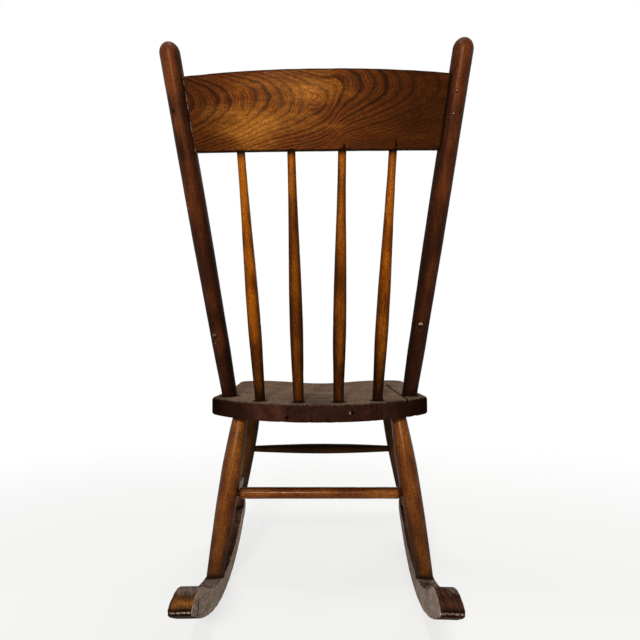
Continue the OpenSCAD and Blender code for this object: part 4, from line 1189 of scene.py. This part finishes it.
class CHAIR_OT_crest(bpy.types.Operator):
    """Adds the bowed crest board, scribed to the posts, with its bold figure and its two splits"""
    bl_idname = "chair.add_crest"
    bl_label = "Add Crest Board"

    def rings(self, x, up):
        """The figure: arches that open to the sitter's left, their tips on a ridge 509 mm up that bulges by
        4 mm on that side, and steps up by 22 mm just right of the middle. An arch is a parabola, steeper
        above the ridge, and the field rises evenly to the sitter's right. One sine wave in a round window
        adds the closed eye."""
        ridge = 0.509 + 0.011 * (1 - np.tanh((x + 0.030) / 0.014)) + 0.004 * bell(x, 0.074, 0.05)
        off = up - ridge
        bend = 30 * off ** 2 + np.where(off > 0, 9000 * off ** 4, 0)
        eye = 0.0035 * np.sin(2 * pi * (x - 0.008) / 0.080) * bell(x, 0.003, 0.030) * bell(up, 0.508, 0.022)
        return 0.22 * (0.213 - x + bend) + eye + 0.0005 * ripple(stack(x, up), 0.04, 61)

    def execute(self, context):
        b = chosen("back")
        low, high = b.crest_low, b.crest_low + b.crest_height
        x_top = np.linspace(-crest_end(high), crest_end(high), 200)
        top = stack(x_top, crest_top(x_top))
        up = np.linspace(low, top[0, 1], 60)
        right = stack(crest_end(up), up)
        bottom = stack(np.linspace(-right[0, 0], right[0, 0], 200), low)
        # The board split above the third and the fourth spindle: (distance from the middle, height, depth,
        # width). Bare wood shows along its left shoulder, in an uneven line with columns of its own.
        splits = [(-0.0448, 0.012, 0.0035, 0.0022), (-0.1294, 0.020, 0.0035, 0.0014)]
        at = [0.5 + split[0] / (2 * right[0, 0]) for split in splits]
        shoulder_at = 0.995
        u = gathered(250, [*at, shoulder_at], spread=0.004)
        v = gathered(80)
        # The ends are cut sharp, and the long edges are eased.
        wobble = outline_waver(u, v, 50, 2.5, 15)
        ease = 0.0020 + 0.0006 * wobble
        ease[len(u):len(u) + len(v) - 2] = 0.0005
        ease[2 * len(u) + len(v) - 2:] = 0.0005
        flat, level, out, near, quads = board((bottom, right, top, right * np.array([-1, 1])), u, v,
                                              b.crest_thick, ease, ease)
        x, up = flat.T
        rear = crest_rear(x) - level
        x = x * crest_end(up, rear) / crest_end(up)
        places = stack(x, up, level)
        hollow = handwork(places, depth=0.00012, length=0.05, seed=13, knocks=24, knock_seed=14,
                          knock_depth=0.0005, knock_radius=0.003)
        shoulder = crest_end(up, rear) - np.abs(x)
        # The ends are darker by the posts: a dark joint with painted shade in it.
        grime_and_shade = falloff(shoulder, 0.0045)
        for place, tall, depth, width in splits:
            aside = np.abs(x - place - 0.0006 * ripple(up[:, None], 0.012, 3))
            mask = climb(up, low + tall, -0.5 * tall)
            hollow = hollow + depth * wedge(aside, width) * mask
            grime_and_shade = np.maximum(grime_and_shade, 1.5 * wedge(aside, 1.8 * width) * np.sqrt(mask))
        places = places - out * hollow[:, None]
        points = back_point(places[:, 0], crest_rear(flat[:, 0]) - places[:, 2], places[:, 1])
        joints = [(*spindle_ends(number), b.spindle_high / 2) for number in SPINDLES]
        grime_and_shade = np.maximum(grime_and_shade, joint_dirt(points, joints, 0.004) * (up < low + 0.004))
        # The board is darker towards the sitter's right and at the far left. Both long edges are darker, the
        # lower one as a painted shade on its underside.
        grime_and_shade = np.maximum(grime_and_shade, 0.62 * climb(-x, 0.01, 0.15) + 0.40 * climb(x, 0.10, 0.08))
        grime_and_shade = np.maximum(grime_and_shade, 1.2 * falloff(up - low, 0.0024))
        grime_and_shade = np.maximum(grime_and_shade, 0.8 * falloff(crest_top(x) - up, 0.0022))
        # It is paler and golden in two wide places, low at the sitter's left and high in the middle.
        low_spot = bell(x, 0.105, 0.075) * bell(up, 0.474, 0.030)
        high_spot = bell(x, 0.020, 0.085) * bell(up, 0.530, 0.030)
        gilt_and_sheen = 0.50 * low_spot + 0.34 * high_spot + 0.06 * ripple(places, 0.08, 16) - 0.02
        uneven = 0.5 * ripple(up[:, None], 0.022, 18) + 0.3 * ripple(up[:, None], 0.005, 19)
        glint = (x > 0) * bell(shoulder, 0.0014, 0.0008) * np.clip(0.55 + uneven, 0, 1)
        worn_and_glint = 0.3 * near + 0.9 * glint
        grime_and_shade = grime_and_shade * (1 - glint)
        grain = places[:, [1, 2, 0]] + 3.1
        figure = self.rings(places[:, 0], places[:, 1] + 0.25 * places[:, 2])
        # One broad ring is nearly black.
        grime_and_shade = np.maximum(grime_and_shade, 0.62 * bell(figure, 0.0567, 0.0011))
        add_piece("crest_board", points, quads, NO_ENDS, wood("crest"), ["crest_rail"], grain,
                  figure, grime_and_shade, gilt_and_sheen, worn_and_glint)
        return {"FINISHED"}


class CHAIR_OT_rockers(bpy.types.Operator):
    """Adds the two rockers with their scrolled tails"""
    bl_idname = "chair.add_rockers"
    bl_label = "Add Rockers"

    def outline(self):
        """The four edges of a rocker: the arc that rolls on the floor, the flat end of the tail, the upper
        edge of three arcs (along the floor arc, the curl and the scroll), and the round front tip. The
        scroll's circle touches the curl's from outside."""
        r = chosen("rockers")
        inner = r.radius - r.height
        tip = r.height / 2
        turn = asin((r.front - tip) / (r.radius - tip))
        hub = np.array([0, r.radius])
        curl_turn = asin(r.scoop_start / inner)
        curl = np.array([r.scoop_start - r.scoop_radius * sin(curl_turn),
                         float(rocker_top(r.scoop_start)) + r.scoop_radius * cos(curl_turn)])
        reach = r.scoop_radius + r.hump_radius
        hump = np.array([r.hump_at, curl[1] - sqrt(reach ** 2 - (r.hump_at - curl[0]) ** 2)])
        meets = curl + (hump - curl) * r.scoop_radius / reach
        curl_end = atan2(*(meets - curl)[::-1])
        hump_start = atan2(*(meets - hump)[::-1])
        hump_end = np.arccos((r.rear - hump[0]) / r.hump_radius)
        bottom = arc(hub, r.radius, -pi / 2 - turn, -pi / 2 + asin(r.rear / r.radius), 300)
        top = chain(arc(hub, inner, -pi / 2 - turn, -pi / 2 + curl_turn, 160),
                    arc(curl, r.scoop_radius, -pi / 2 + curl_turn, curl_end, 80),
                    arc(hump, r.hump_radius, hump_start, hump_end, 60))
        tip_centre = hub + (r.radius - tip) * np.array([-sin(turn), -cos(turn)])
        left = arc(tip_centre, tip, -pi / 2 - turn, -3 * pi / 2 - turn, 60)
        right = np.linspace(bottom[-1], top[-1], 20)
        return bottom, right, top, left

    def execute(self, context):
        r = chosen("rockers")
        # The split in the left tail lies at 0.943 of the length, and has close columns of its own.
        u = gathered(300, [0.943], spread=0.040, offsets=np.linspace(-1, 1, 49))
        v = gathered(26)
        scroll_start = 0.262
        foot_radius = 0.0137
        # For each side: how bare the scroll's top is, how golden its patch, and how wide and how strong the
        # painted highlight line at its end is.
        finishes = ((0.34, 0.60, 0.0014, 0.85), (0.24, 0.14, 0.0020, 0.62))
        for k, (word, side) in enumerate(SIDES.items()):
            bare_top, gold, glint_width, glint_strength = finishes[k]
            ease = r.edge_round * (1 + 0.35 * outline_waver(u, v, 70, 3.0, 70 + k))
            flat, level, out, near, quads = board(self.outline(), u, v, r.thickness, ease, ease, steps=4,
                                                  walls=26)
            along, up = flat.T
            places = stack(along, up, level)
            hollow = handwork(places, depth=0.00015, length=0.05, seed=71 + k, knocks=30, knock_seed=73 + k,
                              knock_depth=0.0007, knock_radius=0.004)
            # A drying split runs down the left tail's inner face: 299 mm behind the contact where it is
            # 90 mm up, and further ahead the higher it is.
            inner = level * -side
            line = 0.2990 - 0.35 * (up - 0.09) + 0.0008 * ripple(up[:, None], 0.01, 75)
            aside = np.abs(along - line)
            mask = (k == 0) * (inner > r.thickness / 2 - 0.002) * climb(up, 0.073, 0.004)
            mask = mask * climb(up, 0.098, -0.012)
            hollow = hollow + 0.0034 * wedge(aside, 0.0027) * mask
            # The split is darkened wider than its groove: dirt in it and a painted shade of the gap.
            grime_and_shade = 3.6 * wedge(aside, 0.0034) * mask
            places = places - out * hollow[:, None]
            points = rocker_point(side, *places.T)
            over = up > rocker_top(np.clip(along, -r.front, r.scoop_start)) - 0.003
            joints = [(*leg_ends(side, row), foot_radius) for row in ROWS]
            grime_and_shade = np.maximum(grime_and_shade, joint_dirt(points, joints, 0.006) * over)
            # Bare wood on the sides and below; the top keeps its varnish, which is rubbed thin on the
            # scroll and behind the rear leg.
            side_face, under = np.abs(out[:, 2]) > 0.7, out[:, 1] < -0.5
            scroll = (along > scroll_start) & ~side_face & ~under
            saddle = (along > r.rear_foot) & (along <= scroll_start) & (out[:, 1] > 0.5)
            worn_and_glint = 0.78 * side_face + 0.4 * near * ~side_face + 0.5 * (1 - np.abs(out[:, 2])) * under
            worn_and_glint = np.where(scroll, 0.12, np.maximum(worn_and_glint, 0.42 * saddle))
            worn_and_glint = worn_and_glint + 0.1 * ripple(places, 0.05, 76 + k)
            # Round the scroll, fall grows towards the floor. The left one is rubbed golden in a patch next
            # to its inner face. Both end nearly black, below a painted highlight: a pale line of the worn
            # colour that stands for glints along the end's edge.
            fall = 0.386 * along - 0.922 * up + 0.0012 * ripple(places, 0.010, 79 + k)
            worn_and_glint = worn_and_glint + scroll * bare_top * climb(fall, 0.0285, -0.008)
            golden = bell(fall, 0.0315, 0.0034) * climb(inner, -0.013, 0.010)
            gilt_and_sheen = scroll * gold * golden
            dark = climb(fall, 0.0360, 0.003)
            # edge is that painted highlight line, broken into glints.
            broken = np.clip(0.72 + 0.5 * ripple(stack(places[:, 2], 1.5 * up), 0.0050, 82 + k), 0, 1)
            edge = scroll * bell(up, 0.0970, glint_width) * (along > r.rear - 0.001) * broken
            grime_and_shade = np.maximum(grime_and_shade, scroll * (0.16 + 0.66 * dark) * (1 - golden * (k == 0)) * (1 - edge))
            # Painted shade: the underside of the tail is darker.
            grime_and_shade = np.maximum(grime_and_shade, 0.75 * under * climb(along, 0.24, 0.05))
            worn_and_glint = np.maximum(worn_and_glint * (1 - 0.8 * dark * scroll), glint_strength * edge)
            grain = places[:, [2, 1, 0]] + 0.7 * (k + 1)
            pith_up = 0.16 - 0.05 * np.sin(places[:, 0] * 9)
            figure = np.hypot(places[:, 2] + 0.03, 0.3 * (places[:, 1] - pith_up))
            add_piece(f"{word}_curled_rocker", points, quads, NO_ENDS, wood("rocker"),
                      [f"{word}_rocker"], grain, figure, grime_and_shade, gilt_and_sheen, worn_and_glint)
        return {"FINISHED"}


def nail(place, way, radius, proud, seed):
    """A nail: a short shank in the wood and a low domed head that stands proud of it. Returns its points,
    places in its own axes, quads and triangles."""
    rise = np.linspace(0, pi / 2, 6)[:-1]
    heights = np.concatenate([[-0.006, -0.0012], proud * np.sin(rise)])
    radii = np.concatenate([[radius * 0.5, radius * 0.5], radius * np.cos(rise)])
    local, turn, out, quads, caps = turned(place, place + way, heights, radii, 20)
    local = local - out * (0.06 * radius * (1 + ripple(local, radius, seed)))[:, None]
    return place + local @ turn, local, quads, caps


def add_nails(name, nails, nodes):
    """Adds nails or screws as one piece of old iron. Small heads get a painted highlight on their upper
    side, and wide ones a painted highlight in a crescent round their dark slot."""
    points, grain, worn_and_glint, quads, caps, count = [], [], [], [], [], 0
    for k, (place, way, radius, proud, highlight) in enumerate(nails):
        p, local, q, c = nail(place, unit(way), radius, proud, 90 + k)
        rise = (p[:, 2] - place[2]) / radius
        spread = np.linalg.norm(local[:, :2], axis=1) / radius
        # The upper side and the crescent are a painted highlight.
        crescent = bell(spread, 0.62, 0.26) * np.clip(0.35 + 1.3 * rise, 0, 1)
        worn_and_glint.append(np.clip(highlight * (crescent if radius > 0.003 else 0.45 + 0.9 * rise), 0, 1))
        points.append(p)
        grain.append(local + 0.1 * k)
        quads.append(q + count)
        caps.append(c + count)
        count += len(p)
    return add_piece(name, np.concatenate(points), np.concatenate(quads), np.concatenate(caps), old_iron(),
                     nodes, np.concatenate(grain), 0.0, 0.0, 0.0, np.concatenate(worn_and_glint))


class CHAIR_OT_nails(bpy.types.Operator):
    """Adds the nails of the crest board and the rear stretcher, and the old screws that held arms"""
    bl_idname = "chair.add_nails"
    bl_label = "Add Nails and Screws"

    def execute(self, context):
        g = chosen("legs")
        groups = {"crest": [], "arm": []}
        for group, side, up, inward, radius, proud, highlight in old_fixings():
            groups[group].append((*on_post(side, up, inward), radius, proud, highlight))
        add_nails("crest_nails", groups["crest"], ["crest_pins"])
        add_nails("arm_screws", groups["arm"], [])
        legs, inward = [], 0.004
        for side in SIDES.values():
            axis, radius = leg_at(side, "rear", g.rear_bar_height)
            way = np.array([-side * inward, sqrt(radius ** 2 - inward ** 2), 0])
            legs.append((axis + way, way, 0.0016, 0.0003, 0.0))
        add_nails("leg_nails", legs, ["stretcher_pins"])
        return {"FINISHED"}


class CHAIR_OT_studio(bpy.types.Operator):
    """Adds the pale floor, the soft lamps, the white background and the camera behind the chair"""
    bl_idname = "chair.add_studio"
    bl_label = "Add Studio"

    def execute(self, context):
        t = chosen("studio")
        scene = context.scene
        scene.view_settings.view_transform = "Standard"
        self.add_floor(t)
        self.add_world(t)
        self.add_lamp("key_lamp", (0.25, 2.1, 1.0), (0, 0, 0.45), 0.20, t.key)
        self.add_lamp("top_lamp", (0.2, 0.5, 2.3), (0, 0, 0.2), 0.36, t.top)
        self.add_lamp("fill_lamp", (-0.6, -2.0, 1.5), (0, 0, 0.4), 1.4, t.fill)
        self.add_camera(t)
        return {"FINISHED"}

    def add_floor(self, t):
        """A disc of rings whose radii grow by squares. It takes the chair's shadow near the middle, and
        further out it fades into the white background."""
        radii = 8.0 * np.linspace(0.02, 1, 24) ** 2
        local, turn, _, quads, caps = turned(np.zeros(3), np.array([0, 0, 1.0]), np.zeros(24), radii, 64)
        mesh = bpy.data.meshes.new("studio_floor")
        faces = quads[:, ::-1].tolist() + caps[:64, ::-1].tolist()
        mesh.from_pydata((local @ turn).tolist(), [], faces)
        material = bpy.data.materials.new("matt_paper_floor")
        tree = new_tree(material)
        place = add(tree, "TexCoord", output="Object")
        away = add(tree, "VectorMath", {0: place}, operation="LENGTH")
        fade = add(tree, "MapRange", {"Value": away, "From Min": 0.3, "From Max": t.reach, "To Min": 0.72},
                   interpolation_type="SMOOTHSTEP")
        paper = add(tree, "BsdfDiffuse", {"Color": (*t.floor, 1)})
        white = add(tree, "Emission", {"Color": (1, 1, 1, 1), "Strength": 1.0})
        both = add(tree, "Math", {0: fade, 1: self.seen_rays(tree)}, operation="MULTIPLY")
        surface = add(tree, "MixShader", {0: both, 1: paper, 2: white})
        add(tree, "OutputMaterial", {"Surface": surface})
        mesh.materials.append(material)
        floor = bpy.data.objects.new("studio_floor", mesh)
        bpy.context.scene.collection.objects.link(floor)
        floor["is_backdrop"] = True

    def seen_rays(self, tree):
        """1 for rays from the camera and for rays by which gloss and glass see, and 0 for light."""
        path = add(tree, "LightPath").node.outputs
        some = add(tree, "Math", {0: path["Is Camera Ray"], 1: path["Is Glossy Ray"]}, operation="MAXIMUM")
        return add(tree, "Math", {0: some, 1: path["Is Transmission Ray"]}, operation="MAXIMUM")

    def add_world(self, t):
        """White where it is seen, and an even soft light on the chair."""
        world = bpy.data.worlds.new("studio_room")
        tree = new_tree(world)
        strength = add(tree, "Mix", {0: self.seen_rays(tree), 2: t.sky, 3: 1.0}, data_type="FLOAT")
        room = add(tree, "Background", {"Color": (1, 1, 1, 1), "Strength": strength})
        add(tree, "OutputWorld", {"Surface": room})
        bpy.context.scene.world = world

    def add_lamp(self, name, place, target, width, power):
        """A square lamp that faces its target."""
        lamp = bpy.data.lights.new(name, "AREA")
        lamp.size = width
        lamp.energy = power
        back = unit(np.array(place) - np.array(target))
        right = unit(np.cross((0, 0, 1), back))
        turn = np.stack([right, np.cross(back, right), back], axis=1)
        piece = bpy.data.objects.new(name, lamp)
        piece.matrix_world = Matrix.Translation(place) @ Matrix(turn.tolist()).to_4x4()
        bpy.context.scene.collection.objects.link(piece)

    def add_camera(self, t):
        """The camera behind the chair, turned by its heading, then tilted up and rolled."""
        ahead = np.array([-sin(t.heading), -cos(t.heading), 0])
        right = np.array([-cos(t.heading), sin(t.heading), 0])
        up = np.array([0, 0, 1.0])
        view = cos(t.pitch) * ahead + sin(t.pitch) * up
        up = cos(t.pitch) * up - sin(t.pitch) * ahead
        right, up = cos(t.roll) * right + sin(t.roll) * up, cos(t.roll) * up - sin(t.roll) * right
        lens = bpy.data.cameras.new("camera")
        lens.lens = t.lens
        lens.sensor_fit = "HORIZONTAL"
        lens.clip_start = 0.01
        camera = bpy.data.objects.new("camera", lens)
        turn = Matrix(np.stack([right, up, -view], axis=1).tolist()).to_4x4()
        camera.matrix_world = Matrix.Translation(t.camera[:]) @ turn
        bpy.context.scene.collection.objects.link(camera)
        bpy.context.scene.camera = camera


class CHAIR_PT_sidebar(bpy.types.Panel):
    """Lists the chair's pieces in the sidebar of the 3D view"""
    bl_label = "Rocking Chair"
    bl_space_type = "VIEW_3D"
    bl_region_type = "UI"
    bl_category = "Rocking Chair"

    def draw(self, context):
        for operator in OPERATORS:
            self.layout.operator(operator.bl_idname)
        for group in GROUPS:
            box = self.layout.box()
            box.label(text=group.capitalize())
            for name in GROUPS[group].__annotations__:
                box.prop(chosen(group), name)


OPERATORS = (CHAIR_OT_seat, CHAIR_OT_posts, CHAIR_OT_crest, CHAIR_OT_spindles, CHAIR_OT_legs,
             CHAIR_OT_stretchers, CHAIR_OT_rockers, CHAIR_OT_nails, CHAIR_OT_studio)


def register():
    """Registers the groups, the operators and the panel."""
    for item in (*GROUPS.values(), *OPERATORS, CHAIR_PT_sidebar):
        bpy.utils.register_class(item)
    for group, kind in GROUPS.items():
        setattr(bpy.types.Scene, "chair_" + group, bpy.props.PointerProperty(type=kind))


def unregister():
    """Takes them out again."""
    for group in GROUPS:
        delattr(bpy.types.Scene, "chair_" + group)
    for item in (CHAIR_PT_sidebar, *reversed(OPERATORS), *reversed(GROUPS.values())):
        bpy.utils.unregister_class(item)


def main():
    """Builds the whole scene."""
    register()
    bpy.ops.chair.add_seat()
    bpy.ops.chair.add_posts()
    bpy.ops.chair.add_crest()
    bpy.ops.chair.add_spindles()
    bpy.ops.chair.add_legs()
    bpy.ops.chair.add_stretchers()
    bpy.ops.chair.add_rockers()
    bpy.ops.chair.add_nails()
    bpy.ops.chair.add_studio()
    boxes = [[list(corner) for corner in box] for box in (CAD_BOX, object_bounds())]


if __name__ == "__main__":
    main()
